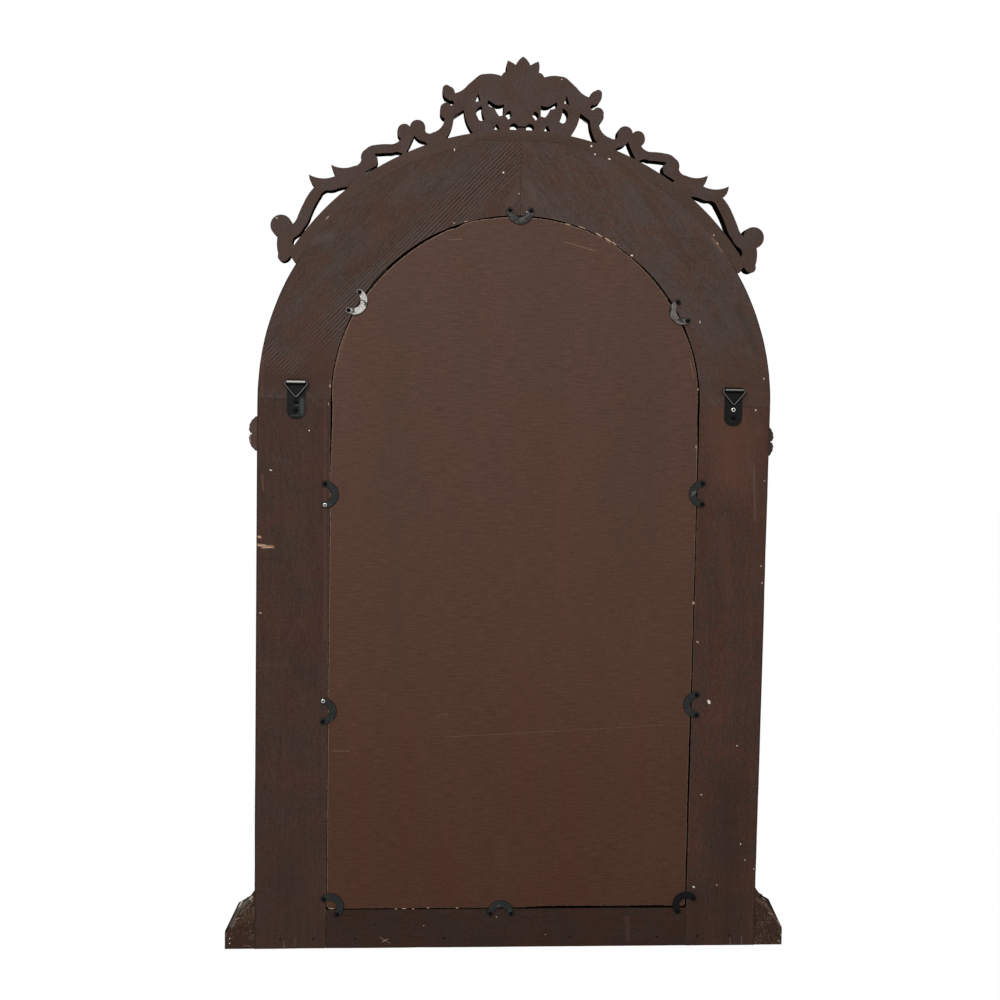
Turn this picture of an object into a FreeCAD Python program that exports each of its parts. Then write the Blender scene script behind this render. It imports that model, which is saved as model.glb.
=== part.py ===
import FreeCAD, Part
import math
import os

# Arched wall mirror in a carved hardwood frame.
# X runs to the right as seen from the front, Y towards the wall, Z up.
# Shapes are drawn about the centre of the arch, on the back face of the frame.
# They are lowered at the end, so that the origin lies midway between the hanger pivots.

Vector = FreeCAD.Vector
sides = {"left": -1, "right": 1}

# Frame members
frame_width = 521.0
spring_height = 565.0
member_width = 73.0
rail_height = 41.0
frame_depth = 24.0
lip_width = 8.0
lip_thickness = 10.0
cut_overrun = 1.0

# Glass, the blocks behind it and the backing board
glass_thickness = 4.0
glass_clearance = 1.5
board_thickness = 4.0
board_gap = 0.9
block_length = 30.0
block_width = 8.0
block_drop_shares = (0.18, 0.52, 0.86)
block_bearings = (-50.0, 0.0, 50.0)
block_offset_shares = (-0.6, 0.6)

# Dowels
joint_dowel_radius = 5.0
joint_dowel_length = 60.0
joint_dowel_shares = (0.3, 0.72)
rail_dowel_radius = 4.0
rail_dowel_length = 50.0
rail_dowel_shares = (0.42, 0.74)
crest_dowel_radius = 3.0
crest_dowel_depth = 10.0
crest_dowel_reach = 8.0
centre_dowel_bearings = (-8.0, 8.0)
wing_dowel_bearings = (27.0, 48.0)
foot_dowel_radius = 3.0
foot_dowel_length = 24.0
foot_dowel_shares = (0.2, 0.6)

# Mouldings on the front
moulding_width = 22.0
moulding_height = 9.0
base_moulding_thickness = 10.0

# Crest of pierced fretwork
crest_rise = 83.6
crest_thickness = 22.0
crest_seat_rise = 0.3
crest_seat_half_length = 46.0
crest_bed = 12.5

# Rosettes at the springing of the arch
rosette_radius = 24.0
rosette_overhang = 13.5
rosette_drop = 36.0
rosette_rim = 4.0
rosette_thickness = 9.0
rosette_petals = 8
rosette_notch_share = 0.87
rosette_shoulder_shares = (0.62, 0.88)
rosette_groove = 1.6
rosette_eye_radius = 6.5
rosette_eye_height = 2.0
rosette_pin_radius = 2.0
rosette_pin_depth = 8.0
rosette_pin_reach = 4.0
rosette_pin_shares = (0.15, 0.6)

# Feet
foot_reach = 30.0
foot_height = 62.0
foot_bevel = 7.0
foot_bevel_width = 8.0
foot_facing_width = 68.5
foot_facing_height = 76.0
foot_facing_thickness = 12.0
foot_front_drop = 14.0

# Nails that hold the base moulding and the feet
nail_radius = 0.9
nail_head_radius = 1.6
nail_head_height = 0.4
nail_bite = 7.0
nail_rise = 10.0
rail_nail_shares = (0.35, 0.84)
stile_nail_shares = (0.17, 0.64)

# Crescent clips that hold the board
clip_hole_spacing = 21.2
clip_outer_radius = 13.7
clip_waist = 7.7
clip_thickness = 1.2
clip_inset = 4.8
clip_tip_radius = 3.2
clip_screw_radius = 1.1
clip_screw_length = 12.0
clip_screw_head_radius = 2.3
clip_screw_head_height = 0.9
upper_right_clip_bearing = 59.2
upper_left_clip_bearing = 60.3
middle_right_clip_drop = 95.5
middle_left_clip_drop = 90.0
lower_right_clip_drop = 317.0
lower_left_clip_drop = 309.0
bottom_clip_offset = 7.3
right_corner_clip_inset = 4.6
left_corner_clip_inset = 1.0
corner_clip_rise = 3.4
right_corner_clip_turn = 130.7
left_corner_clip_turn = 220.0

# Strap hangers with their rings; span and fall are those of the wire's centre line before its bends
hanger_inset = 38.5
hanger_rise = 17.0
strap_width = 18.0
strap_thickness = 1.1
strap_drop = 36.6
strap_end_radius = 8.0
strap_hole_drops = (20.2, 28.8)
ring_wire_radius = 1.1
ring_play = 0.3
ring_span = 25.8
ring_fall = 15.7
ring_corner_radius = 1.8
hanger_screw_radius = 1.6
hanger_screw_length = 16.0
hanger_screw_head_radius = 2.5
hanger_screw_head_height = 1.3

# Sizes worked out from the ones above
arch_radius = frame_width / 2
rebate_radius = arch_radius - member_width
rebate_depth = frame_depth - lip_thickness
rebate_bottom = rail_height - spring_height
sight_radius = rebate_radius - lip_width
sight_bottom = rebate_bottom + lip_width
block_thickness = rebate_depth - glass_thickness - board_thickness
crest_seat = arch_radius + crest_seat_rise
frame_middle = -frame_depth / 2
barrel_radius = ring_wire_radius + ring_play + strap_thickness
hanger_offset = arch_radius - hanger_inset
facing_edge = arch_radius + foot_reach - foot_facing_width
base_moulding_height = rail_height + lip_width - moulding_width

# The fretwork is drawn on squared paper, with the centre of the arch at its origin.
# On that paper the arch has this radius and the crown reaches this height, in squares.
crest_arch_share = 26.05
crest_top_share = 34.41

# Each step is an end point, or a point on the way and an end point for an arc.
crown_start_share = (0.0, 34.41)
crown_shares = [
    ((0.45, 34.03), (0.73, 33.57)),
    ((1.12, 33.80), (1.54, 33.97)),
    ((1.65, 33.42), (1.58, 32.90)),
    ((1.92, 32.78),),
    ((2.16, 32.44),),
    ((2.95, 32.62), (3.80, 32.58)),
    ((4.22, 32.50), (4.54, 32.30)),
    ((5.50, 31.45),),
    ((6.05, 30.92), (6.75, 30.61)),
    ((6.92, 31.05), (7.30, 31.27)),
    ((7.88, 31.28), (7.97, 30.90)),
    ((7.93, 30.50), (7.72, 30.14)),
    ((7.22, 29.84),),
    ((6.84, 29.60), (7.12, 29.40)),
    ((7.40, 29.62),),
    ((8.02, 29.48), (8.18, 28.91)),
    ((8.12, 28.42), (7.73, 28.09)),
    ((8.10, 27.20), (8.90, 26.70)),
]
wing_start_share = (8.90, 26.70)
wing_shares = [
    ((9.25, 26.58), (9.60, 26.72)),
    ((9.66, 26.95),),
    ((10.37, 27.90), (11.18, 27.21)),
    ((11.95, 27.43), (12.40, 26.85)),
    ((12.38, 26.35), (12.05, 26.00)),
    ((12.45, 25.60), (13.05, 25.42)),
    ((13.90, 25.40), (14.62, 25.30)),
    ((15.15, 25.15), (15.53, 24.85)),
    ((15.92, 24.45), (15.96, 23.80)),
    ((16.25, 23.35), (16.70, 23.18)),
    ((17.80, 22.96), (18.93, 23.25)),
    ((18.78, 22.68), (18.50, 22.16)),
    ((19.80, 21.88), (21.10, 22.23)),
    ((20.95, 21.55), (20.52, 21.05)),
    ((21.05, 20.42), (21.40, 19.85)),
    ((21.80, 19.02), (22.15, 18.21)),
    ((22.42, 17.62), (22.75, 17.25)),
    ((23.05, 17.92), (23.80, 18.22)),
    ((24.56, 17.91), (24.87, 17.15)),
    ((24.72, 16.60), (24.15, 16.12)),
    ((24.22, 15.20), (24.08, 14.35)),
    ((24.00, 13.78), (23.62, 13.60)),
    ((23.22, 13.74), (22.95, 14.10)),
    ((22.82, 14.12),),
    ((22.54, 13.64),),
]
middle_piercing_shares = [
    ((0.79, 27.83), (0.41, 27.56)),
    ((-0.41, 27.56),),
    ((-0.79, 27.83), (-1.17, 27.20)),
    ((-0.41, 27.20),),
    ((-0.41, 27.42),),
    ((0.41, 27.42),),
    ((0.41, 27.20),),
    ((1.17, 27.20),),
]
centre_piercing_shares = [
    [((6.82, 28.33),), ((7.02, 27.24), (7.60, 26.12)), ((6.26, 26.47), (4.88, 26.76)),
     ((5.41, 27.54), (5.82, 29.02))],
    [((4.19, 29.96),), ((4.73, 29.81),), ((4.43, 30.70),)],
    [((4.58, 28.95), (4.42, 28.30)), ((4.05, 27.98), (3.77, 28.16)), ((3.98, 28.75), (4.03, 29.43))],
    [((3.50, 29.68),), ((3.25, 29.42), (2.80, 29.32)), ((2.55, 28.82),), ((2.30, 28.50),),
     ((1.86, 28.59),), ((1.86, 29.70),), ((2.40, 29.55), (2.95, 29.75)), ((3.43, 30.05),)],
    [((1.58, 28.85), (1.64, 28.50)), ((1.38, 28.18),), ((1.04, 28.56),), ((1.17, 29.05),)],
    [((2.85, 27.15),), ((2.19, 27.17),), ((2.53, 27.77),)],
]
wing_piercing_shares = [
    [((10.25, 25.92), (9.71, 25.76)), ((9.42, 25.52),), ((10.50, 25.09), (11.52, 24.64)),
     ((11.05, 25.58), (10.73, 26.35))],
    [((12.30, 24.66), (12.90, 24.56)), ((14.00, 24.50), (14.68, 24.42)), ((14.37, 24.05),),
     ((14.33, 23.62), (14.50, 23.25)), ((15.52, 22.66),), ((15.40, 22.43),),
     ((13.70, 23.50), (11.85, 24.48))],
    [((17.75, 21.05), (18.28, 20.90)), ((18.80, 20.72), (19.32, 20.72)), ((19.68, 20.55), (19.94, 20.18)),
     ((20.52, 19.15), (20.96, 18.12)), ((21.22, 17.48), (21.58, 16.98)), ((21.85, 16.52), (22.31, 16.12)),
     ((22.62, 15.80), (22.66, 15.35)), ((22.56, 15.19),), ((19.93, 18.51), (17.18, 21.09))],
]

# Section of the moulding round the glass, a quirk, a torus and a hollow, as shares of its width and height.
moulding_shares = [
    ((0, 0.33),), ((0.12, 0.86), (0.42, 1)), ((0.5, 0.85),), ((0.67, 0.42), (1, 0.33)), ((1, 0),), ((0, 0),),
]
# Section of the base moulding, with a rounded top, as shares of its thickness and height.
base_moulding_shares = [((1, 0),), ((1, 0.81),), ((0.85, 0.95), (0.5, 1)), ((0, 1),), ((0, 0),)]

# Outline of a foot beside the stile, as shares of its reach and its height.
foot_shares = [(0, 0), (1, 0), (1, 0.31), (0.78, 0.555), (0.56, 0.8), (0.4, 0.84), (0.14, 0.905), (0, 1)]
# The bevel on its back starts along a line from the first of these places to the second and past it.
foot_bevel_shares = [(0.06, 0.78), (0.82, 0.347)]
# The leaf of the foot on the front of the stile, as shares of its width and height from its inner corner.
foot_leaf_start_share = (0.54, 0.72)
foot_leaf_shares = [
    ((0.57, 0.85), (0.48, 0.86)),
    ((0.42, 0.96), (0.32, 1.0)),
    ((0.29, 0.89), (0.20, 0.83)),
    ((0.18, 0.71), (0.10, 0.63)),
    ((0.10, 0.51), (0.04, 0.42)),
    ((0.05, 0.20), (0, 0)),
]


def point(x, z):
    return Vector(x, 0, z)


def bearing_point(bearing, radius):
    angle = math.radians(bearing)
    return point(radius * math.sin(angle), radius * math.cos(angle))


def crest_point(x_share, z_share):
    """Carries a place on the squared drawing to the real arch and the real rise of the crest."""
    rise_share = (math.hypot(x_share, z_share) - crest_arch_share) / (crest_top_share - crest_arch_share)
    bearing = math.degrees(math.atan2(x_share, z_share))
    return bearing_point(bearing, arch_radius + rise_share * crest_rise)


def path_edges(start, steps, place):
    """Lines and three-point arcs from start through each step."""
    edges = []
    here = place(*start)
    for step in steps:
        end = place(*step[-1])
        if len(step) == 1:
            edges.append(Part.makeLine(here, end))
        else:
            edges.append(Part.Arc(here, place(*step[0]), end).toShape())
        here = end
    return edges


def plate(edges, front, back=0.0):
    """A plate from Y = back to Y = front, with the outline that the edges close."""
    face = Part.Face(Part.Wire(Part.__sortEdges__(edges)))
    face.translate(Vector(0, back, 0))
    return face.extrude(Vector(0, front - back, 0))


def polygon_edges(points):
    return [Part.makeLine(a, b) for a, b in zip(points, points[1:] + points[:1])]


def to_side(shape, side):
    """Shapes are made for the right-hand side; the left-hand one is their mirror image."""
    return shape if side > 0 else shape.mirror(Vector(0, 0, 0), Vector(1, 0, 0))


def rod(start, direction, radius, length):
    return Part.makeCylinder(radius, length, start, direction)


def joined(solids):
    return Part.makeCompound(solids)


def arched_plate(radius, bottom, front, back):
    """A plate with straight sides and a round top, as the glass and the board have."""
    edges = [
        Part.Arc(point(-radius, 0), point(0, radius), point(radius, 0)).toShape(),
        Part.makeLine(point(radius, 0), point(radius, bottom)),
        Part.makeLine(point(radius, bottom), point(-radius, bottom)),
        Part.makeLine(point(-radius, bottom), point(-radius, 0)),
    ]
    return plate(edges, front, back)


def frame_section():
    """The section that stiles and arch share, with the rebate for the glass and board."""
    corners = [
        (rebate_radius, 0), (arch_radius, 0), (arch_radius, -frame_depth), (sight_radius, -frame_depth),
        (sight_radius, -rebate_depth), (rebate_radius, -rebate_depth),
    ]
    return Part.Face(Part.Wire(polygon_edges([Vector(x, y, 0) for x, y in corners])))


def stile():
    return frame_section().extrude(Vector(0, 0, -spring_height))


def crest_seat_block(depth):
    """The flat that is left on top of the arch, under the middle of the crest."""
    drop = arch_radius - math.sqrt(arch_radius ** 2 - crest_seat_half_length ** 2)
    height = drop + crest_seat_rise
    return Part.makeBox(
        2 * crest_seat_half_length, depth, height,
        Vector(-crest_seat_half_length, -depth, crest_seat - height))


def arch_segment():
    quarter = frame_section().revolve(Vector(0, 0, 0), Vector(0, -1, 0), 90)
    right_half = Part.makeBox(
        arch_radius, frame_depth, 2 * arch_radius, Vector(0, -frame_depth, 0))
    return quarter.fuse(crest_seat_block(frame_depth).common(right_half)).removeSplitter()


def rail():
    back = Part.makeBox(
        2 * rebate_radius, rebate_depth, rail_height, Vector(-rebate_radius, -rebate_depth, -spring_height))
    front = Part.makeBox(
        2 * sight_radius, lip_thickness, rail_height + lip_width,
        Vector(-sight_radius, -frame_depth, -spring_height))
    return back.fuse(front).removeSplitter()


def spring_dowels():
    return [
        rod(Vector(side * (rebate_radius + share * member_width), frame_middle, -joint_dowel_length / 2),
            Vector(0, 0, 1), joint_dowel_radius, joint_dowel_length)
        for side in sides.values() for share in joint_dowel_shares
    ]


def apex_dowels():
    return [
        rod(Vector(-joint_dowel_length / 2, frame_middle, rebate_radius + share * member_width),
            Vector(1, 0, 0), joint_dowel_radius, joint_dowel_length)
        for share in joint_dowel_shares
    ]


def rail_dowels():
    return [
        rod(Vector(side * (rebate_radius - rail_dowel_length / 2), -rebate_depth / 2,
                   share * rail_height - spring_height),
            Vector(side, 0, 0), rail_dowel_radius, rail_dowel_length)
        for side in sides.values() for share in rail_dowel_shares
    ]


def foot_dowels():
    return [
        rod(Vector(side * (arch_radius - foot_dowel_length / 2), frame_middle,
                   share * foot_height - spring_height),
            Vector(side, 0, 0), foot_dowel_radius, foot_dowel_length)
        for side in sides.values() for share in foot_dowel_shares
    ]


def crest_dowel(bearing):
    start = bearing_point(bearing, arch_radius - crest_dowel_depth)
    start.y = -crest_thickness / 2
    return rod(start, bearing_point(bearing, 1), crest_dowel_radius, crest_dowel_depth + crest_dowel_reach)


def crest_dowels():
    wings = [side * bearing for side in sides.values() for bearing in wing_dowel_bearings]
    return [crest_dowel(bearing) for bearing in list(centre_dowel_bearings) + wings]


def rosette_centre(side):
    return point(side * (arch_radius - rosette_radius + rosette_overhang), -rosette_drop)


def rosette_pins():
    pins = []
    length = rosette_pin_depth + rosette_pin_reach
    for side in sides.values():
        for share in rosette_pin_shares:
            start = rosette_centre(side) - Vector(side * share * rosette_radius, 0, 0)
            start.y = rosette_pin_depth - frame_depth
            pins.append(rod(start, Vector(0, -1, 0), rosette_pin_radius, length))
    return pins


def base_nails():
    nails = []
    offsets = [share * rebate_radius for share in rail_nail_shares]
    offsets += [rebate_radius + share * member_width for share in stile_nail_shares]
    for offset in offsets:
        for side in sides.values():
            start = point(side * offset, nail_rise - spring_height)
            shank = rod(start, Vector(0, -1, 0), nail_radius, frame_depth + nail_bite)
            head = rod(start, Vector(0, 1, 0), nail_head_radius, nail_head_height)
            nails.append(shank.fuse(head))
    return nails


def section_face(shares, place):
    """The closed section that runs from its zero corner through the shares."""
    return Part.Face(Part.Wire(path_edges(shares[-1][-1], shares, place)))


def upright_moulding_section():
    def place(out, height):
        return Vector(sight_radius + out * moulding_width, -frame_depth - height * moulding_height, 0)

    return section_face(moulding_shares, place)


def mitre_wedge(toward):
    """Half of a square round the lower right corner of the opening; toward is 1 for its upper half, above
    the mitre, and -1 for its lower half."""
    corner = point(sight_radius, sight_bottom)
    run = 2 * moulding_width
    wedge = [corner + point(-run, run), corner + point(run, -run), corner + point(toward * run, toward * run)]
    return plate(polygon_edges(wedge), -2 * frame_depth)


def stile_moulding():
    length = moulding_width - sight_bottom
    bar = upright_moulding_section().extrude(Vector(0, 0, -length))
    return bar.cut(mitre_wedge(-1))


def arch_moulding():
    return upright_moulding_section().revolve(Vector(0, 0, 0), Vector(0, -1, 0), 90)


def rail_moulding():
    reach = sight_radius + moulding_width

    def place(out, height):
        return Vector(-reach, -frame_depth - height * moulding_height, sight_bottom - out * moulding_width)

    bar = section_face(moulding_shares, place).extrude(Vector(2 * reach, 0, 0))
    return bar.cut(joined([to_side(mitre_wedge(1), side) for side in sides.values()]))


def base_moulding():
    """A plinth strip with a rounded top edge, between the leaves of the feet."""
    def place(out, rise):
        return Vector(-facing_edge, -frame_depth - out * base_moulding_thickness,
                      rise * base_moulding_height - spring_height)

    return section_face(base_moulding_shares, place).extrude(Vector(2 * facing_edge, 0, 0))


def piercing(steps):
    """A cutter through the crest; its outline starts where it ends."""
    return plate(path_edges(steps[-1][-1], steps, crest_point), -crest_thickness - cut_overrun, cut_overrun)


def inward(share_point):
    """The place straight below a point of the crest's outline, safely inside the arch."""
    place = crest_point(*share_point)
    bearing = math.degrees(math.atan2(place.x, place.z))
    return bearing_point(bearing, arch_radius - crest_bed)


def arch_seat():
    """The round top of the arch with its flat, which the crest sits on."""
    disc = Part.makeCylinder(
        arch_radius, 2 * crest_thickness, Vector(0, crest_thickness / 2, 0), Vector(0, -1, 0))
    flat = crest_seat_block(2 * crest_thickness)
    flat.translate(Vector(0, crest_thickness / 2, 0))
    return disc.fuse(flat)


def crest_centre():
    right = path_edges(crown_start_share, crown_shares, crest_point)
    right.append(Part.makeLine(crest_point(*crown_shares[-1][-1]), inward(crown_shares[-1][-1])))
    left = [edge.mirror(Vector(0, 0, 0), Vector(1, 0, 0)) for edge in right]
    corner = inward(crown_shares[-1][-1])
    bed = Part.Arc(corner, point(0, arch_radius - crest_bed), point(-corner.x, corner.z)).toShape()
    solid = plate(right + left + [bed], -crest_thickness).cut(arch_seat())
    cutters = [piercing(middle_piercing_shares)]
    for steps in centre_piercing_shares:
        cutters += [piercing(steps), to_side(piercing(steps), sides["left"])]
    return solid.cut(joined(cutters))


def crest_wing():
    edges = path_edges(wing_start_share, wing_shares, crest_point)
    outer, inner = inward(wing_shares[-1][-1]), inward(wing_start_share)
    middle = (outer + inner).normalize() * (arch_radius - crest_bed)
    edges.append(Part.makeLine(crest_point(*wing_shares[-1][-1]), outer))
    edges.append(Part.Arc(outer, middle, inner).toShape())
    edges.append(Part.makeLine(inner, crest_point(*wing_start_share)))
    solid = plate(edges, -crest_thickness).cut(arch_seat())
    return solid.cut(joined([piercing(steps) for steps in wing_piercing_shares]))


def rosette_groove_cutter(bearing):
    """A three-sided bar that follows the slope of the petals from the eye to the rim."""
    outward = bearing_point(bearing, rosette_radius)
    across = bearing_point(bearing + 90, rosette_groove)
    top = Vector(0, -rosette_thickness, 0)
    proud = top - Vector(0, rosette_groove, 0)
    deep = top + Vector(0, rosette_groove, 0)
    section = Part.Face(Part.Wire(polygon_edges([proud + across, proud - across, deep])))
    return section.extrude((outward + Vector(0, rosette_thickness - rosette_rim, 0)) * 2)


def rosette():
    """A scalloped disc with a domed face, a groove between each two petals and a raised eye."""
    step = 360.0 / rosette_petals
    notch = rosette_radius * rosette_notch_share
    edges = [
        Part.Arc(bearing_point(step * i, notch), bearing_point(step * (i + 0.5), rosette_radius),
                 bearing_point(step * (i + 1), notch)).toShape()
        for i in range(rosette_petals)
    ]
    reach_share, rise_share = rosette_shoulder_shares
    dome = Part.Face(Part.Wire(polygon_edges([
        Vector(0, 0, 0),
        Vector(0, -rosette_thickness, 0),
        Vector(rosette_radius * reach_share, -rosette_thickness * rise_share, 0),
        Vector(rosette_radius, -rosette_rim, 0),
        Vector(rosette_radius, 0, 0),
    ]))).revolve(Vector(0, 0, 0), Vector(0, 1, 0), 360)
    grooves = [rosette_groove_cutter(step * i) for i in range(rosette_petals)]
    body = plate(edges, -rosette_thickness).common(dome).cut(joined(grooves))
    eye = rod(Vector(0, 0, 0), Vector(0, -1, 0), rosette_eye_radius, rosette_thickness + rosette_eye_height)
    eye = eye.makeChamfer(rosette_eye_height / 2, [edge for edge in eye.Edges if on_front(edge)])
    return body.fuse(eye).removeSplitter()


def on_front(edge):
    """True for the closed edge round the front end of a rosette's eye."""
    return edge.isClosed() and edge.CenterOfMass.y < -rosette_thickness


def placed_rosette(side):
    solid = rosette()
    solid.translate(rosette_centre(side) - Vector(0, frame_depth, 0))
    return solid


def foot():
    """A block beside the stile, in one piece with the leaf on the stile's front. Its slope falls away towards
    the front and has a bevel on the back."""
    outline = [on_foot(*share) for share in foot_shares]
    front_outline = [place - point(0, foot_front_drop if place.z > outline[0].z else 0) for place in outline]
    front = Part.Wire(polygon_edges(front_outline))
    front.translate(Vector(0, -frame_depth - foot_facing_thickness, 0))
    block = Part.makeLoft([Part.Wire(polygon_edges(outline)), front], True, True).cut(foot_bevel_cutter())

    def on_leaf(x_share, z_share):
        return point(facing_edge + x_share * foot_facing_width, z_share * foot_facing_height - spring_height)

    leaf = polygon_edges(front_outline[1:-1])[:-1]
    leaf.append(Part.makeLine(front_outline[-2], on_leaf(*foot_leaf_start_share)))
    leaf += path_edges(foot_leaf_start_share, foot_leaf_shares, on_leaf)
    leaf.append(Part.makeLine(on_leaf(0, 0), front_outline[1]))
    facing = plate(leaf, -frame_depth - foot_facing_thickness, -frame_depth)
    return block.fuse(facing).removeSplitter()


def on_foot(reach, rise):
    return point(arch_radius + reach * foot_reach, rise * foot_height - spring_height)


def foot_bevel_cutter():
    """A three-sided bar that takes the back edge off the slope of a foot."""
    start, end = [on_foot(*share) for share in foot_bevel_shares]
    along = (end - start).normalize()
    across = Vector(-along.z, 0, along.x) * (2 * foot_bevel_width)
    deep = start + across - Vector(0, 2 * foot_bevel, 0)
    section = Part.Face(Part.Wire(polygon_edges([start, start + across, deep])))
    return section.extrude(along * foot_height)


def glass():
    return arched_plate(
        rebate_radius - glass_clearance, rebate_bottom, -rebate_depth, -rebate_depth + glass_thickness)


def board():
    return arched_plate(rebate_radius - board_gap, rebate_bottom + board_gap, -board_thickness, 0.0)


def glass_block(centre, turn):
    """A small block against the back of the glass; centre is the middle of its outer edge."""
    block = Part.makeBox(
        block_length, block_thickness, block_width,
        Vector(-block_length / 2, -board_thickness - block_thickness, -block_width))
    block.rotate(Vector(0, 0, 0), Vector(0, 1, 0), turn)
    block.translate(centre)
    return block


def glass_blocks():
    arch_reach = math.sqrt(rebate_radius ** 2 - (block_length / 2) ** 2)
    blocks = [glass_block(bearing_point(bearing, arch_reach), bearing) for bearing in block_bearings]
    for side in sides.values():
        for share in block_drop_shares:
            blocks.append(glass_block(point(side * rebate_radius, share * rebate_bottom), 90 * side))
    for share in block_offset_shares:
        blocks.append(glass_block(point(share * rebate_radius, rebate_bottom), 180))
    return blocks


def clip():
    """A crescent of sheet with a hole near each tip; its belly points down."""
    middle = clip_hole_spacing / 2
    reach = middle + clip_tip_radius
    inner = middle - clip_tip_radius
    edges = [
        Part.Arc(point(-reach, 0), point(0, -clip_outer_radius), point(reach, 0)).toShape(),
        Part.Arc(point(reach, 0), point(middle, clip_tip_radius), point(inner, 0)).toShape(),
        Part.Arc(point(inner, 0), point(0, clip_waist - clip_outer_radius), point(-inner, 0)).toShape(),
        Part.Arc(point(-inner, 0), point(-middle, clip_tip_radius), point(-reach, 0)).toShape(),
    ]
    solid = plate(edges, clip_thickness)
    holes = [
        rod(Vector(side * clip_hole_spacing / 2, -cut_overrun, 0), Vector(0, 1, 0),
            clip_screw_radius, clip_thickness + 2 * cut_overrun)
        for side in sides.values()
    ]
    return solid.cut(joined(holes))


def clip_places():
    """The middle between the holes of each clip, and how far the clip is turned from belly down."""
    reach = rebate_radius + clip_inset
    right_corner = point(rebate_radius - right_corner_clip_inset, rebate_bottom + corner_clip_rise)
    left_corner = point(left_corner_clip_inset - rebate_radius, rebate_bottom + corner_clip_rise)
    return {
        "top_clip": (point(0, reach), 0),
        "upper_right_clip": (bearing_point(upper_right_clip_bearing, reach), upper_right_clip_bearing),
        "upper_left_clip": (bearing_point(-upper_left_clip_bearing, reach), -upper_left_clip_bearing),
        "middle_right_clip": (point(reach, -middle_right_clip_drop), 90),
        "middle_left_clip": (point(-reach, -middle_left_clip_drop), -90),
        "lower_right_clip": (point(reach, -lower_right_clip_drop), 90),
        "lower_left_clip": (point(-reach, -lower_left_clip_drop), -90),
        "right_corner_clip": (right_corner, right_corner_clip_turn),
        "left_corner_clip": (left_corner, left_corner_clip_turn),
        "bottom_clip": (point(bottom_clip_offset, rebate_bottom - clip_inset), 180),
    }


def set_in_place(shape, centre, turn):
    moved = shape.copy()
    moved.rotate(Vector(0, 0, 0), Vector(0, 1, 0), turn)
    moved.translate(centre)
    return moved


def headed_screw(head_radius, head_height, radius, length, level):
    """A round-headed screw whose head sits at Y = level and whose shank runs into the frame."""
    head = rod(Vector(0, level, 0), Vector(0, 1, 0), head_radius, head_height)
    top = [edge for edge in head.Edges if edge.isClosed() and edge.CenterOfMass.y > level]
    head = head.makeChamfer(head_height / 2, top)
    return head.fuse(rod(Vector(0, level, 0), Vector(0, -1, 0), radius, length + level))


def clip_screw_solids():
    """Two screws for each clip, by the clip's name and the end that they are at."""
    screw = headed_screw(
        clip_screw_head_radius, clip_screw_head_height, clip_screw_radius, clip_screw_length, clip_thickness)
    solids = {}
    for name, (centre, turn) in clip_places().items():
        for end, side in sides.items():
            placed = screw.copy()
            placed.translate(point(side * clip_hole_spacing / 2, 0))
            solids[name, end] = set_in_place(placed, centre, turn)
    return solids


def strap(side):
    """A strap with a round lower end, two holes and a barrel rolled round the bar of the ring."""
    half = strap_width / 2
    low = hanger_rise - strap_drop
    bend = strap_end_radius
    diagonal = bend * (1 - math.sqrt(0.5))
    edges = [
        Part.makeLine(point(-half, hanger_rise), point(half, hanger_rise)),
        Part.makeLine(point(half, hanger_rise), point(half, low + bend)),
        Part.Arc(point(half, low + bend), point(half - diagonal, low + diagonal),
                 point(half - bend, low)).toShape(),
        Part.makeLine(point(half - bend, low), point(bend - half, low)),
        Part.Arc(point(bend - half, low), point(diagonal - half, low + diagonal),
                 point(-half, low + bend)).toShape(),
        Part.makeLine(point(-half, low + bend), point(-half, hanger_rise)),
    ]
    axis = Vector(-half, barrel_radius, hanger_rise)
    body = plate(edges, strap_thickness).fuse(rod(axis, Vector(1, 0, 0), barrel_radius, strap_width))
    bore = rod(axis - Vector(cut_overrun, 0, 0), Vector(1, 0, 0), ring_wire_radius + ring_play,
               strap_width + 2 * cut_overrun)
    holes = [
        rod(point(0, hanger_rise - drop) - Vector(0, cut_overrun, 0), Vector(0, 1, 0),
            hanger_screw_radius, strap_thickness + 2 * cut_overrun)
        for drop in strap_hole_drops
    ]
    solid = body.cut(joined([bore] + holes)).removeSplitter()
    solid.translate(Vector(side * hanger_offset, 0, 0))
    return solid


def rounded_corner(before, corner, after, radius):
    """The tangent arc that rounds a corner of the ring: its ends and its middle."""
    to_before = (before - corner).normalize()
    to_after = (after - corner).normalize()
    half_angle = to_before.getAngle(to_after) / 2
    setback = radius / math.tan(half_angle)
    centre = corner + (to_before + to_after).normalize() * (radius / math.sin(half_angle))
    middle = centre + (corner - centre).normalize() * radius
    return corner + to_before * setback, middle, corner + to_after * setback


def ring(side):
    """A triangle of round wire, hanging point down, with its top bar in the strap's barrel."""
    half = ring_span / 2
    level = barrel_radius
    corners = [
        Vector(-half, level, hanger_rise), Vector(half, level, hanger_rise),
        Vector(0, level, hanger_rise - ring_fall),
    ]
    bends = [
        rounded_corner(corners[i - 1], corners[i], corners[(i + 1) % 3], ring_corner_radius) for i in range(3)
    ]
    edges = []
    for i, (start, middle, end) in enumerate(bends):
        edges.append(Part.Arc(start, middle, end).toShape())
        edges.append(Part.makeLine(end, bends[(i + 1) % 3][0]))
    route = Part.Wire(edges)
    begin = bends[0][2]
    section = Part.Wire(Part.makeCircle(ring_wire_radius, begin, Vector(1, 0, 0)))
    solid = Part.Wire(edges[1:] + edges[:1]).makePipeShell([section], True, False)
    print("ring", "valid", solid.isValid(), "volume over section times length",
          round(solid.Volume / (math.pi * ring_wire_radius ** 2 * route.Length), 4))
    solid.translate(Vector(side * hanger_offset, 0, 0))
    return solid


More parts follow.
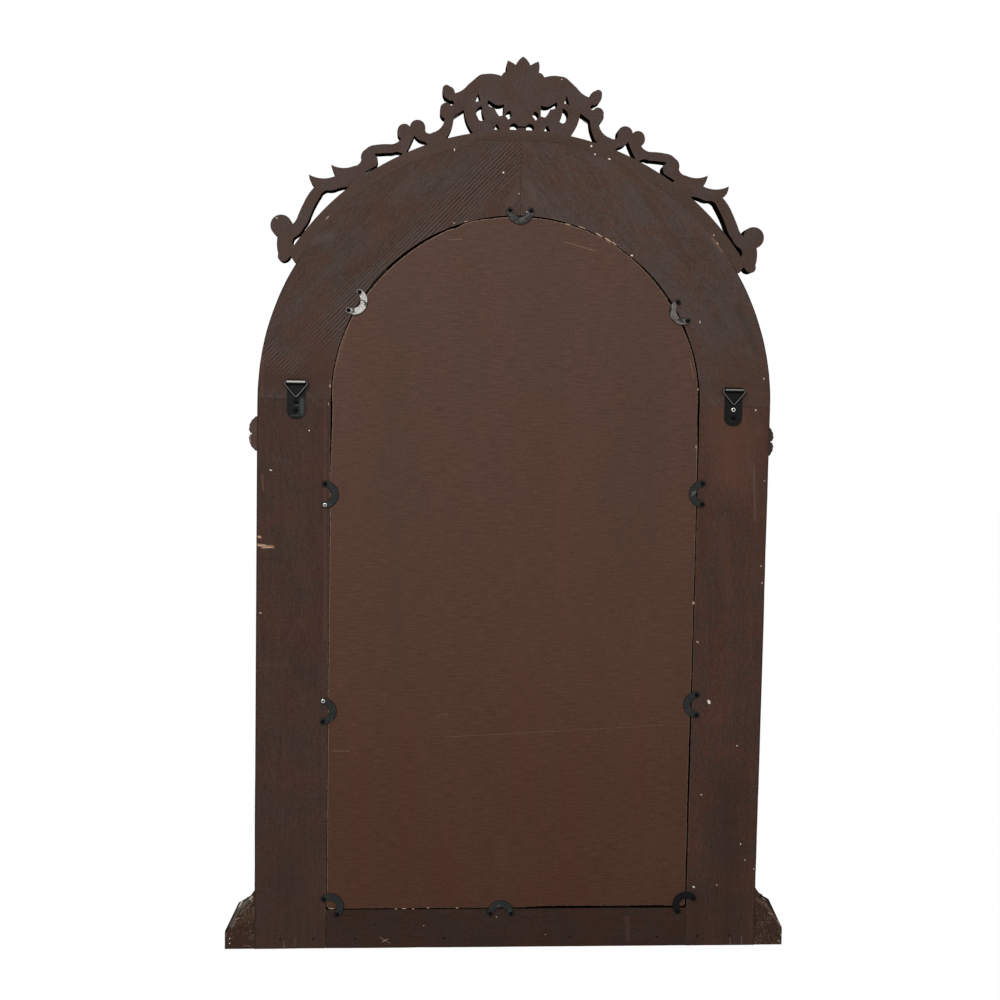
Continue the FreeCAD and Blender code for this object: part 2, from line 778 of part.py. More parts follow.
def hanger_screw(side, drop):
    screw = headed_screw(
        hanger_screw_head_radius, hanger_screw_head_height, hanger_screw_radius, hanger_screw_length,
        strap_thickness)
    screw.translate(point(side * hanger_offset, hanger_rise - drop))
    return screw


# The plated screws that the older black ones were replaced by.
bright_clip_screws = [("middle_right_clip", "right"), ("lower_right_clip", "left")]
bright_hanger_screw = ("left", strap_hole_drops[0])


def build():
    """Every node by name."""
    clip_screws = clip_screw_solids()
    hanger_screws = {
        (name, drop): hanger_screw(side, drop) for name, side in sides.items() for drop in strap_hole_drops
    }
    fixings = joined(
        spring_dowels() + apex_dowels() + rail_dowels() + foot_dowels() + crest_dowels() + rosette_pins()
        + base_nails() + list(clip_screws.values()) + list(hanger_screws.values()))
    nodes = {
        "bottom_rail": rail().cut(fixings),
        "base_moulding": base_moulding().cut(fixings),
        "rail_moulding": rail_moulding(),
        "mirror_glass": glass(),
        "backing_board": board(),
        "glass_blocks": joined(glass_blocks()),
        "crest_centre": crest_centre().cut(fixings),
        "spring_dowels": joined(spring_dowels()),
        "apex_dowels": joined(apex_dowels()),
        "rail_dowels": joined(rail_dowels()),
        "foot_dowels": joined(foot_dowels()),
        "crest_dowels": joined(crest_dowels()),
        "rosette_pins": joined(rosette_pins()),
        "base_nails": joined(base_nails()),
    }
    for name, side in sides.items():
        nodes[name + "_stile"] = to_side(stile(), side).cut(fixings)
        nodes[name + "_arch"] = to_side(arch_segment(), side).cut(fixings)
        nodes[name + "_crest_wing"] = to_side(crest_wing(), side).cut(fixings)
        nodes[name + "_foot"] = to_side(foot(), side).cut(fixings)
        nodes[name + "_rosette"] = placed_rosette(side).cut(fixings)
        nodes[name + "_stile_moulding"] = to_side(stile_moulding(), side)
        nodes[name + "_arch_moulding"] = to_side(arch_moulding(), side)
        nodes[name + "_strap"] = strap(side)
        nodes[name + "_ring"] = ring(side)
    for name, (centre, turn) in clip_places().items():
        nodes[name] = set_in_place(clip(), centre, turn)
    nodes["clip_screws"] = joined([s for key, s in clip_screws.items() if key not in bright_clip_screws])
    nodes["bright_clip_screws"] = joined([clip_screws[key] for key in bright_clip_screws])
    nodes["hanger_screws"] = joined([s for key, s in hanger_screws.items() if key != bright_hanger_screw])
    nodes["bright_hanger_screw"] = hanger_screws[bright_hanger_screw]
    return nodes


os.makedirs("parts", exist_ok=True)
for node_name, node_shape in build().items():
    node_shape.translate(Vector(0, 0, -hanger_rise))
    node_shape.exportStep("parts/" + node_name + ".step")
    print(node_name, "solids", len(node_shape.Solids), "valid", node_shape.isValid(),
          "volume", round(node_shape.Volume, 1))
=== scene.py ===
# %% [markdown]
# # An arched wall mirror, seen from behind
# The mirror stands on its two feet with its back to the camera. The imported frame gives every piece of
# the construction in metres: X to the right as seen from the front, Y towards the wall, Z up. This
# lesson dresses those pieces: it rounds and nicks the edges of the timber, carves the crest, makes
# the screws, and gives every surface the finish that the real one has.

# %% Load the frame
import math

import bmesh
import bpy
import numpy
from mathutils import Matrix, Vector, noise
from mathutils.geometry import delaunay_2d_cdt


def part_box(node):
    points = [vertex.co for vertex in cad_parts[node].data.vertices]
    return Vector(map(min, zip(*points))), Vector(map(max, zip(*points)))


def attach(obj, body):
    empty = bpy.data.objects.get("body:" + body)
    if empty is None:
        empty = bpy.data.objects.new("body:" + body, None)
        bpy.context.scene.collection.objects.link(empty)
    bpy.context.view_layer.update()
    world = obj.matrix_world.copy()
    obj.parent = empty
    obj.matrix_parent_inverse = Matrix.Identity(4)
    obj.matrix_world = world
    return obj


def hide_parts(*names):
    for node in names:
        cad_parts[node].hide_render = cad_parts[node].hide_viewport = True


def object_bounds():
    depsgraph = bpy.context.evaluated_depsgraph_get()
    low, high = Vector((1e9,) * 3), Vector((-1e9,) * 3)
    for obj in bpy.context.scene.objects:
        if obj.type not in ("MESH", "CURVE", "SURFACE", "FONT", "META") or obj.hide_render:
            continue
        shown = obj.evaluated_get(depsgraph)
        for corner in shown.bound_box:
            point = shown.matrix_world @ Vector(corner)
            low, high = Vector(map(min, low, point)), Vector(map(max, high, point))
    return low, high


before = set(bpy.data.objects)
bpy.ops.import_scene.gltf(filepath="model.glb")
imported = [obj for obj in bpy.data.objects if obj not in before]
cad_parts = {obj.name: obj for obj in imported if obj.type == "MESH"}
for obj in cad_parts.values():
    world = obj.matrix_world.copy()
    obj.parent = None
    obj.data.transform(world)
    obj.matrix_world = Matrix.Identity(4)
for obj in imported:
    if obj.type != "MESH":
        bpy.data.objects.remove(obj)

scene = bpy.context.scene
cad_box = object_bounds()
mm = 0.001
print("nodes", len(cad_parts), "box", [round(value, 4) for corner in cad_box for value in corner])

# %% [markdown]
# ## The camera
# The photograph was taken from behind, a little below the middle and a little to one side, so the
# crest shows its undersides. The lens and the three small turns were matched to the straight edges of
# the frame. One helper turns a pixel of the photograph into the place on the back where its ray
# lands, so that a scratch or a fleck can be named where it is seen and still lie on the wood.

# %% Camera
camera_place = Vector((0.1107, 1.4172, -0.0181))
camera_yaw, camera_pitch, camera_roll = (math.radians(angle) for angle in (-3.846, -3.940, 1.018))
sensor_width = 36.0
lens_length = 50.4
photo_size = 1000
photo_centre = photo_size / 2
pixel_focal = photo_size * lens_length / sensor_width

facing_back = Matrix(((-1, 0, 0), (0, 0, 1), (0, 1, 0)))
camera_turn = facing_back @ Matrix.Rotation(camera_yaw, 3, "Y") @ Matrix.Rotation(camera_pitch, 3, "X")
camera_turn = camera_turn @ Matrix.Rotation(camera_roll, 3, "Z")

camera = bpy.data.objects.new("camera", bpy.data.cameras.new("camera"))
camera.data.sensor_fit = "HORIZONTAL"
camera.data.sensor_width = sensor_width
camera.data.lens = lens_length
camera.matrix_world = Matrix.Translation(camera_place) @ camera_turn.to_4x4()
scene.collection.objects.link(camera)
scene.camera = camera


def on_back(across_px, down_px, level=0.0):
    """The place at Y = level that the camera sees at a pixel of the photograph."""
    ray = camera_turn @ Vector((across_px - photo_centre, photo_centre - down_px, -pixel_focal))
    return camera_place + ray * ((level - camera_place.y) / ray.y)


print("middle of the photograph lands at", [round(value, 3) for value in on_back(500, 500)])

# %% [markdown]
# ## Sizes read from the frame
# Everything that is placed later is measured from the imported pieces, so that it follows them.

# %% Sizes
spring_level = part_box("right_stile")[1].z
ground_level = cad_box[0].z
frame_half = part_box("right_stile")[1].x
frame_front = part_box("right_stile")[0].y
rebate_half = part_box("bottom_rail")[1].x
rebate_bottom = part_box("mirror_glass")[0].z
board_depth = -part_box("backing_board")[0].y
print("frame half width", round(frame_half, 4), "rebate", round(rebate_half, 4))
print("springing", round(spring_level, 4))

# %% [markdown]
# ## Two small tools
# Colours are written as they are picked from a screen, in sRGB, and Blender's shaders work in linear
# light, so one function converts them. Another adds a node with its settings and links: a single word
# as the settings is its operation, and a list as the inputs fills them in order.

# %% Colour and nodes


def tone(hex_text):
    """A linear colour from an sRGB hex value."""
    channels = [int(hex_text[i:i + 2], 16) / 255 for i in (1, 3, 5)]
    linear = [c / 12.92 if c <= 0.04045 else ((c + 0.055) / 1.055) ** 2.4 for c in channels]
    return (*linear, 1.0)


def add(tree, kind, settings=None, inputs=None, out=0):
    """Adds a node, sets its operation or properties, fills its inputs and gives one of its outputs."""
    node = tree.nodes.new(kind)
    settings = {"operation": settings} if isinstance(settings, str) else settings or {}
    inputs = dict(enumerate(inputs)) if isinstance(inputs, list) else inputs or {}
    for name, value in settings.items():
        setattr(node, name, value)
    for name, value in inputs.items():
        if isinstance(name, int):
            socket = node.inputs[name]
        else:
            socket = next(s for s in node.inputs if name in (s.identifier, s.name))
        if isinstance(value, bpy.types.NodeSocket):
            tree.links.new(value, socket)
        else:
            socket.default_value = value
    if isinstance(out, str):
        return next(s for s in node.outputs if out in (s.identifier, s.name))
    return node.outputs[out] if len(node.outputs) else node


def new_finish(name, **sockets):
    """A material with one Principled shader; sockets are its own even values."""
    material = bpy.data.materials.new(name)
    material.use_nodes = True
    tree = material.node_tree
    shader = tree.nodes["Principled BSDF"]
    for socket, value in sockets.items():
        shader.inputs[socket.replace("_", " ")].default_value = value
    return material, tree, shader


print("white in linear light", tone("#ffffff")[:3])

# %% [markdown]
# ## Recipes that several finishes share
# Sums of weighted parts, smooth steps, and layers of colour laid by masks come back in every finish.
# Each has one function that takes as many parts as are needed, so a finish reads as a list of what
# lies on what.

# %% Shared recipes


def weighted(tree, total, *parts):
    """A start value plus each part times its weight."""
    for part, weight in parts:
        total = add(tree, "ShaderNodeMath", "MULTIPLY_ADD", [part, weight, total])
    return total


def stepped(tree, *steps):
    """The product of smooth steps: a value, where it starts and ends, and perhaps its bottom and top."""
    product = None
    for value, low, high, *ends in steps:
        bottom, top = ends or (0.0, 1.0)
        step = add(tree, "ShaderNodeMapRange", {"interpolation_type": "SMOOTHSTEP"},
                   {"Value": value, "From Min": low, "From Max": high, "To Min": bottom, "To Max": top})
        product = add(tree, "ShaderNodeMath", "MULTIPLY", [product, step]) if product else step
    return product


def without(tree, mask, other):
    """A mask with another one left out."""
    return add(tree, "ShaderNodeMath", "MULTIPLY", [mask, weighted(tree, 1.0, (other, -1.0))])


def painted(tree, colour, *layers):
    """Lays colours over one another, each by its mask; a colour is a hex value or an output."""
    for mask, upper in layers:
        below, above = (tone(value) if isinstance(value, str) else value for value in (colour, upper))
        colour = add(tree, "ShaderNodeMix", {"data_type": "RGBA"},
                     {"Factor_Float": mask, "A_Color": below, "B_Color": above}, "Result_Color")
    return colour


def textured(tree, shader, colour, dullness, relief, height):
    """Gives a shader its colour, its roughness and its fine relief."""
    tree.links.new(colour, shader.inputs["Base Color"])
    tree.links.new(dullness, shader.inputs["Roughness"])
    bump = add(tree, "ShaderNodeBump", {}, {"Distance": height, "Height": relief})
    tree.links.new(bump, shader.inputs["Normal"])


print("recipes: weighted, stepped, without, painted, textured")

# %% [markdown]
# ## Streaks
# Wood and fibreboard are both streaks: noise that is stretched along one direction. A streak is told
# how wide and how long it is in millimetres, so its scale can be checked against the real grain.

# %% Streaks


def lay_along(tree, place, grain):
    """Coordinates along the grain, across it and into the piece, as three outputs."""
    cross = (-grain[2], 0.0, grain[0])
    along = add(tree, "ShaderNodeVectorMath", "DOT_PRODUCT", [place, grain], "Value")
    across = add(tree, "ShaderNodeVectorMath", "DOT_PRODUCT", [place, cross], "Value")
    return along, across, add(tree, "ShaderNodeSeparateXYZ", {}, [place], "Y")


def streaks(tree, lay, width, length, detail=2.0, seed=0.0):
    """Noise from 0 to 1 whose features are width wide and length long."""
    spot = {axis: weighted(tree, seed, (value, 1 / size))
            for axis, value, size in zip("XYZ", lay, (length, width, width))}
    spot = add(tree, "ShaderNodeCombineXYZ", {}, spot)
    return add(tree, "ShaderNodeTexNoise", {}, {"Vector": spot, "Scale": 1.0, "Detail": detail})


print("patterns: streaks laid along a grain")

# %% [markdown]
# ## Smears
# A smear is a soft line between two places, for stains, scuffs and scratches. A little noise breaks
# its edge, so that it looks rubbed and not drawn. On a deep piece it stops a few millimetres below
# its own level, so that dust on the back doesn't show on the front.

# %% Smears


def smear(tree, place, start, end, half_width, rough):
    """A mask that is 1 on the line from start to end and fades to 0 beside it."""
    line = end - start
    gone = add(tree, "ShaderNodeVectorMath", "SUBTRACT", [place, start])
    share = add(tree, "ShaderNodeVectorMath", "DOT_PRODUCT", [gone, line / line.length_squared], "Value")
    share = add(tree, "ShaderNodeClamp", {}, [share])
    nearest = add(tree, "ShaderNodeVectorMath", "SCALE", {0: line, "Scale": share})
    away = add(tree, "ShaderNodeVectorMath", "DISTANCE", [gone, nearest], "Value")
    away = weighted(tree, away, (rough, half_width * 1.2))
    return stepped(tree, (away, half_width * 1.5, half_width * 0.5))


smear_reach = 5.5 * mm


def with_smears(tree, place, rough, colour, smears, depth=0.0):
    """A smear has two pixels, a half width in mm, a strength and a tone; depth is the Y of them all."""
    near = 1.0
    if smears and depth:
        level_here = add(tree, "ShaderNodeSeparateXYZ", {}, [place], "Y")
        near = stepped(tree, (level_here, depth - smear_reach, depth - smear_reach + mm))
        place = add(tree, "ShaderNodeVectorMath", "MULTIPLY", [place, (1.0, 0.0, 1.0)])
        place = add(tree, "ShaderNodeVectorMath", "ADD", [place, (0.0, depth, 0.0)])
    for start_px, end_px, half_width, strength, hex_text in smears:
        start, end = on_back(*start_px, depth), on_back(*end_px, depth)
        mask = smear(tree, place, start, end, half_width * mm, rough)
        for share in (strength, near):
            mask = add(tree, "ShaderNodeMath", "MULTIPLY", [mask, share])
        colour = painted(tree, colour, (mask, hex_text))
    return colour


print("smears reach", round(smear_reach / mm, 1), "mm deep")

# %% [markdown]
# ## Stained hardwood, left sawn on the back
# The frame is hardwood under a thin walnut-brown stain. On the back the timber was left as the saw
# and the sander left it: dull, with the stain lying in warm and grey blotches, thin saw marks across
# the arch, and pale wood where an edge was knocked. A paler grey on the saw marks is a painted sheen.
# The walls of the cuts are dark stain laid near-black as painted shade, and a thin near-black line
# along the free back edges is a painted shadow. The front was sanded, sealed and rubbed, so it is
# redder and has a soft shine.
# One material does all of it: the direction that a face looks in says whether it is back, wall or
# front.

# %% Sides of a piece
# Near-black of dark stain, laid deeper as painted shade on the walls of cuts and on the free back edges; it
# also darkens the hollows of the carving.
dark_stain_and_shade = "#17100c"
wood_gloss = 0.12


def facing_of(tree):
    """How far a face looks to the wall: 1 behind, 0 at the sides, -1 in front."""
    normal = add(tree, "ShaderNodeTexCoord", out="Normal")
    return add(tree, "ShaderNodeSeparateXYZ", {}, [normal], "Y")


def sides_of(tree):
    """Masks of the faces that look back, and of those that look neither back nor forward."""
    facing = facing_of(tree)
    return stepped(tree, (facing, 0.55, 0.93)), stepped(tree, (facing, 0.86, 0.74), (facing, -0.45, -0.2))


def no_gloss_on(tree, shader, wall):
    """Raw end grain and cut walls drink the finish, so they stay matt."""
    tree.links.new(weighted(tree, wood_gloss, (wall, -wood_gloss)), shader.inputs["Specular IOR Level"])


print("gloss of the woods", wood_gloss)

# %% [markdown]
# ## Saw marks
# A band saw leaves thin grooves at an even distance, each a little wavy. They are a sine of the
# distance across the cut, pushed along by noise, so that they stay parallel without looking ruled.
# They show only in some places, where the sander did not reach.

# %% Saw marks
saw_drift = 9.0


def saw_marks(tree, place, lay, rough, spacing, bands, share):
    """Thin lines along the grain, strong in the bands and at the given share elsewhere."""
    drift = streaks(tree, lay, 30 * mm, 220 * mm, 2.0, 19.0)
    phase = weighted(tree, 0.0, (lay[1], 2 * math.pi / spacing), (drift, saw_drift))
    lines = add(tree, "ShaderNodeMath", "SINE", [phase])
    strength = streaks(tree, lay, 14 * mm, 70 * mm, 2.0, 29.0)
    strength = stepped(tree, (strength, 0.38, 0.6, 0.15 * share, share))
    for start_px, end_px, half_width, band_share in bands:
        band = smear(tree, place, on_back(*start_px), on_back(*end_px), half_width * mm, rough)
        band = add(tree, "ShaderNodeMath", "MULTIPLY", [band, band_share])
        strength = add(tree, "ShaderNodeMath", "MAXIMUM", [strength, band])
    return add(tree, "ShaderNodeMath", "MULTIPLY", [lines, strength])


print("saw marks drift by", saw_drift, "radians")

# %% [markdown]
# ## The edges of the frame
# Wear gathers on the edges that stand free, and not where two pieces are joined; the painted shade
# of the walls and edges is weaker there too. So the material needs to know how far a point lies from
# the outer edge and from the rebate, which are a half circle on two straight sides.

# %% Edges of the frame
crest_end_level = on_back(285, 256).z
rim_width = 1.7 * mm
rim_fade = 0.4 * mm


def within(tree, distance, width=rim_width):
    """A mask that is 1 below a width and 0 a little above it."""
    return stepped(tree, (distance, width + rim_fade, width))


def round_the_frame(tree, place):
    """How far a point lies from the outer edge and from the rebate, and whether the crest is there."""
    across = add(tree, "ShaderNodeSeparateXYZ", {}, [place], "X")
    height = across.node.outputs["Z"]
    above = weighted(tree, -spring_level, (height, 1.0))
    above = add(tree, "ShaderNodeMath", "MAXIMUM", [above, 0.0])
    flat_place = add(tree, "ShaderNodeCombineXYZ", {}, {"X": across, "Z": above})
    reach = add(tree, "ShaderNodeVectorMath", "LENGTH", [flat_place], "Value")
    outer = weighted(tree, frame_half, (reach, -1.0))
    inner = weighted(tree, -rebate_half, (reach, 1.0))
    return outer, inner, stepped(tree, (height, crest_end_level - mm, crest_end_level + mm))


def free_edges(tree, place):
    """A mask of the edges that no joint hides, with what round_the_frame gives."""
    outer, inner, under_crest = round_the_frame(tree, place)
    height = add(tree, "ShaderNodeSeparateXYZ", {}, [place], "Z")
    beside_rail = within(tree, height, rebate_bottom - rim_fade)
    free = within(tree, height, ground_level + rim_width)
    for edge, joint in ((outer, under_crest), (inner, beside_rail)):
        free = add(tree, "ShaderNodeMath", "MAXIMUM", [free, without(tree, within(tree, edge), joint)])
    return free, outer, inner, under_crest


def free_rail_edges(tree, place):
    """The same for the rail, whose ends are joined to the stiles."""
    across = add(tree, "ShaderNodeSeparateXYZ", {}, [place], "X")
    across = add(tree, "ShaderNodeMath", "ABSOLUTE", [across])
    return within(tree, across, rebate_half - 1.6 * mm)


print("rim of bare edges in mm", round(rim_width / mm, 2))

# %% [markdown]
# ## One material for every sawn face
# The back is a warm and a grey stain mixed by blotches and laps, lightened and darkened by grain of
# several sizes, with paler wood along worn edges. The walls of the cuts and the front are laid over
# it by masks.

# %% Stained hardwood


def stained_hardwood(name, grain, warm, grey, saw, smears=(), round_top=True):
    """Saw is the spacing of the marks in mm, the bands where they are strong and their share elsewhere."""
    material, tree, shader = new_finish(name)
    place = add(tree, "ShaderNodeTexCoord", out="Object")
    lay = lay_along(tree, place, grain)
    behind, wall = sides_of(tree)
    blotches, patches, grit = (
        add(tree, "ShaderNodeTexNoise", {}, {"Vector": place, "Scale": 1 / (size * mm), "Detail": detail})
        for size, detail in ((38, 5.0), (11, 3.0), (2.6, 3.0)))
    laps = streaks(tree, lay, 26 * mm, 110 * mm, 3.0)
    figure = streaks(tree, lay, 4.5 * mm, 60 * mm, 3.0, 7.0)
    fibres = streaks(tree, lay, 1.2 * mm, 12 * mm, 2.0, 3.0)
    rough = streaks(tree, lay, 2.2 * mm, 5 * mm, 3.0, 11.0)
    marks = saw_marks(tree, place, lay, rough, saw[0] * mm, saw[1], saw[2])

    shade = weighted(tree, blotches, (patches, 0.7), (laps, 0.6))
    back = painted(tree, warm, (stepped(tree, (shade, 0.95, 1.35)), grey))
    light = weighted(tree, -0.44, (laps, 0.4), (patches, 0.3), (figure, 0.4), (fibres, 0.8), (grit, 1.0),
                     (marks, 0.18))
    back = add(tree, "ShaderNodeVectorMath", "SCALE", {0: back, "Scale": light})
    # Painted sheen: the saw marks are laid a paler grey, where light glances off their ridges.
    back = painted(tree, back, (stepped(tree, (marks, 0.1, 1.0, 0.0, 0.3)), "#5f5350"))

    if round_top:
        free, outer, inner, under_crest = free_edges(tree, place)
        ragged = add(tree, "ShaderNodeMath", "MINIMUM", [outer, inner])
        ragged = weighted(tree, ragged, (rough, 4.5 * mm))
        worn = stepped(tree, (ragged, 3.4 * mm, 2.0 * mm, 0.0, 0.4))
        joined = add(tree, "ShaderNodeMath", "MULTIPLY", [under_crest, within(tree, outer, 10 * mm)])
        # Painted shadow: a thin near-black line along the free outer edge of the back, none where the crest
        # sits.
        rim = weighted(tree, 0.6, (under_crest, -0.6))
        rim = add(tree, "ShaderNodeMath", "MULTIPLY", [rim, within(tree, outer, 0.9 * mm)])
        back = painted(tree, back, (without(tree, worn, joined), "#6b4f43"), (rim, dark_stain_and_shade))
    else:
        free = free_rail_edges(tree, place)
    just_behind = stepped(tree, (lay[2], -1.1 * mm, -0.9 * mm))
    behind = add(tree, "ShaderNodeMath", "MAXIMUM", [behind, just_behind])
    # The painted shade on the walls is weaker where pieces are joined.
    wall = add(tree, "ShaderNodeMath", "MULTIPLY", [wall, weighted(tree, 0.3, (free, 0.7))])
    no_gloss_on(tree, shader, wall)
    back = with_smears(tree, place, rough, back, smears)

    dark_fibres = stepped(tree, (fibres, 0.35, 0.65))
    front = painted(tree, "#24140e", (figure, "#4a2c1d"), (dark_fibres, "#1c0f0a"))
    # The walls of the cuts are laid near-black: dark stain, with painted shade.
    colour = painted(tree, front, (behind, back), (wall, dark_stain_and_shade))
    dullness = weighted(tree, stepped(tree, (behind, 0.0, 1.0, 0.36, 0.68)), (fibres, 0.14))
    relief = weighted(tree, 0.0, (marks, 0.12), (fibres, 0.14))
    relief = add(tree, "ShaderNodeMath", "MULTIPLY", [relief, behind])
    textured(tree, shader, colour, dullness, relief, mm)
    return material


print("walls are stained", dark_stain_and_shade)

# %% [markdown]
# ## Stains, scuffs and painted shading of each timber
# Every timber has its own list, read from the photograph: two pixels, a half width in mm, a strength
# and a tone. The broad smears low on both stiles are painted shade, darker towards the bottom, and the
# broad pale one at the top of one stile is painted light. The grain of the two arch pieces runs
# aslant, each its own way.

# %% Grain directions and scuffs
saw_slant = math.radians(46)
upright = (0.0, 0.0, 1.0)
level = (1.0, 0.0, 0.0)
right_slant = (-math.cos(saw_slant), 0.0, math.sin(saw_slant))
left_slant = (math.cos(saw_slant), 0.0, math.sin(saw_slant))

right_arch_smears = [
    ((327, 217), (368, 183), 0.9, 0.75, "#8a6c5c"),
    ((310, 240), (332, 236), 9.0, 0.35, "#5c504c"),
    ((262, 345), (262, 395), 2.5, 0.4, "#6b4c40"),
    ((330, 380), (331, 395), 1.6, 0.7, "#80614f"),
    ((508, 205), (520, 186), 8.0, 0.3, "#604a42"),
    ((385, 225), (372, 240), 14.0, 0.3, "#5a3f34"),
    ((415, 175), (395, 200), 12.0, 0.25, "#574a46"),
    ((500, 189), (523, 169), 0.8, 0.5, "#6f574d"),
    ((290, 330), (330, 300), 20.0, 0.3, "#4f3a32"),
    ((262, 380), (325, 380), 24.0, 0.5, "#3c2a23"),
    ((322, 345), (326, 392), 40.0, 0.5, "#4a3128"),
]
left_arch_smears = [
    ((628, 167), (660, 186), 3.0, 0.4, "#6d5043"),
    ((668, 190), (682, 203), 3.2, 0.5, "#755844"),
    ((712, 238), (722, 252), 2.0, 0.6, "#80604b"),
    ((738, 306), (756, 350), 9.0, 0.5, "#3a2f27"),
    ((622, 165), (652, 196), 9.0, 0.4, "#493627"),
    ((596, 150), (640, 215), 16.0, 0.3, "#4b403b"),
    ((655, 255), (720, 345), 22.0, 0.25, "#4c403d"),
    ((528, 182), (536, 206), 8.0, 0.3, "#604a42"),
    ((705, 385), (765, 390), 22.0, 0.4, "#432f27"),
    ((712, 350), (745, 390), 40.0, 0.4, "#4c352b"),
    ((735, 385), (764, 395), 5.0, 0.35, "#5c4132"),
    ((702, 360), (712, 400), 6.0, 0.3, "#4d3d38"),
    ((680, 215), (690, 225), 9.0, 0.35, "#553e31"),
]
right_stile_smears_and_shading = [
    ((258, 545), (273, 547), 2.6, 0.9, "#a9815b"),
    ((257, 536), (261, 538), 1.6, 0.8, "#9a775b"),
    ((262, 558), (286, 562), 6.0, 0.4, "#33291f"),
    ((274, 459), (288, 461), 4.5, 0.3, "#4b4342"),
    ((263, 664), (286, 665), 7.0, 0.3, "#553d32"),
    ((325, 400), (325, 640), 2.6, 0.35, "#60443b"),
    ((298, 620), (306, 628), 6.0, 0.25, "#544137"),
    ((262, 475), (263, 490), 2.0, 0.45, "#735544"),
    ((312, 398), (322, 406), 4.5, 0.35, "#5c3e2d"),
    # Painted shade: the stile darker towards the bottom.
    ((288, 850), (288, 930), 34.0, 0.35, "#33271f"),
    ((284, 941), (284, 948), 0.5, 0.7, "#9a8a7c"),
    ((295, 938), (295, 947), 0.4, 0.6, "#8f7c6c"),
    ((259, 406), (288, 408), 0.5, 0.6, "#33231c"),
]
left_stile_smears_and_shading = [
    ((754, 466), (755, 520), 2.3, 0.4, "#665a53"),
    ((760, 426), (760, 434), 7.0, 0.35, "#564741"),
    ((741, 408), (752, 470), 7.0, 0.3, "#5c4236"),
    ((754, 914), (754, 923), 1.3, 0.9, "#1a100a"),
    ((730, 937), (730, 944), 0.7, 0.6, "#9a8a7c"),
    ((741.6, 936), (741.6, 944), 0.6, 0.7, "#9a8a7c"),
    ((726, 438), (727, 482), 2.0, 0.35, "#654734"),
    ((705, 395), (712, 445), 8.0, 0.4, "#463833"),
    ((724, 520), (728, 600), 9.0, 0.3, "#583b2b"),
    ((750, 600), (751, 660), 3.0, 0.25, "#5c3f2f"),
    ((701, 470), (703, 560), 6.0, 0.3, "#3b2a24"),
    # Painted light: the top of the stile paler.
    ((728, 415), (732, 470), 55.0, 0.75, "#5a3d31"),
    # Painted shade: the stile darker towards the bottom.
    ((728, 790), (728, 930), 42.0, 0.55, "#2c1f19"),
    ((695, 895), (695, 945), 30.0, 0.6, "#2f221c"),
]
rail_smears = [
    ((627, 918), (628, 940), 4.5, 0.4, "#574239"),
    ((380, 937.5), (390, 943), 0.7, 0.8, "#8f7867"),
    ((440, 912), (500, 914), 3.0, 0.25, "#453229"),
]
frame_smears = (right_arch_smears, left_arch_smears, right_stile_smears_and_shading, left_stile_smears_and_shading, rail_smears)
print("scuffs on the frame", sum(len(smears) for smears in frame_smears))

# %% [markdown]
# ## The woods of the five timbers
# The arch pieces show their saw marks most, the stiles and the rail hardly at all. The timbers differ
# a little in tone, so each has its own warm and grey stain.

# %% Woods of the timbers
right_arch_bands = [((322, 338), (516, 150), 38.0, 1.4), ((400, 180), (430, 158), 9.0, 0.5),
                    ((264, 352), (296, 372), 30.0, 1.2)]
left_arch_bands = [((524, 144), (546, 170), 2.6, 1.2), ((706, 268), (738, 312), 30.0, 1.2)]
timber_woods = {}
for node, wood, grain, warm, grey, saw, smears in (
        ("right_arch", "right_arch", right_slant, "#48342c", "#433732", (3.1, right_arch_bands, 0.2),
         right_arch_smears),
        ("left_arch", "left_arch", left_slant, "#4c382f", "#483c38", (1.9, left_arch_bands, 0.4),
         left_arch_smears),
        ("right_stile", "right_stile", upright, "#452f27", "#3e2e28", (5.0, [], 0.1), right_stile_smears_and_shading),
        ("left_stile", "left_stile", upright, "#4a3127", "#402f29", (5.0, [], 0.1), left_stile_smears_and_shading),
        ("bottom_rail", "rail", level, "#39251c", "#332621", (4.0, [], 0.1), rail_smears)):
    timber_woods[node] = stained_hardwood(
        "sawn_stained_hardwood_" + wood, grain, warm, grey, saw, smears, node != "bottom_rail")
print("woods", len(timber_woods))

# %% [markdown]
# ## Carved and stained hardwood
# The crest, the feet, the rosettes and the mouldings are smoother than the frame. Their backs took
# the stain evenly. Their fronts were sealed and waxed: the hollows hold dark wax and dust and the
# high places are rubbed, which the material reads from how far forward a point lies.

# %% Carved hardwood


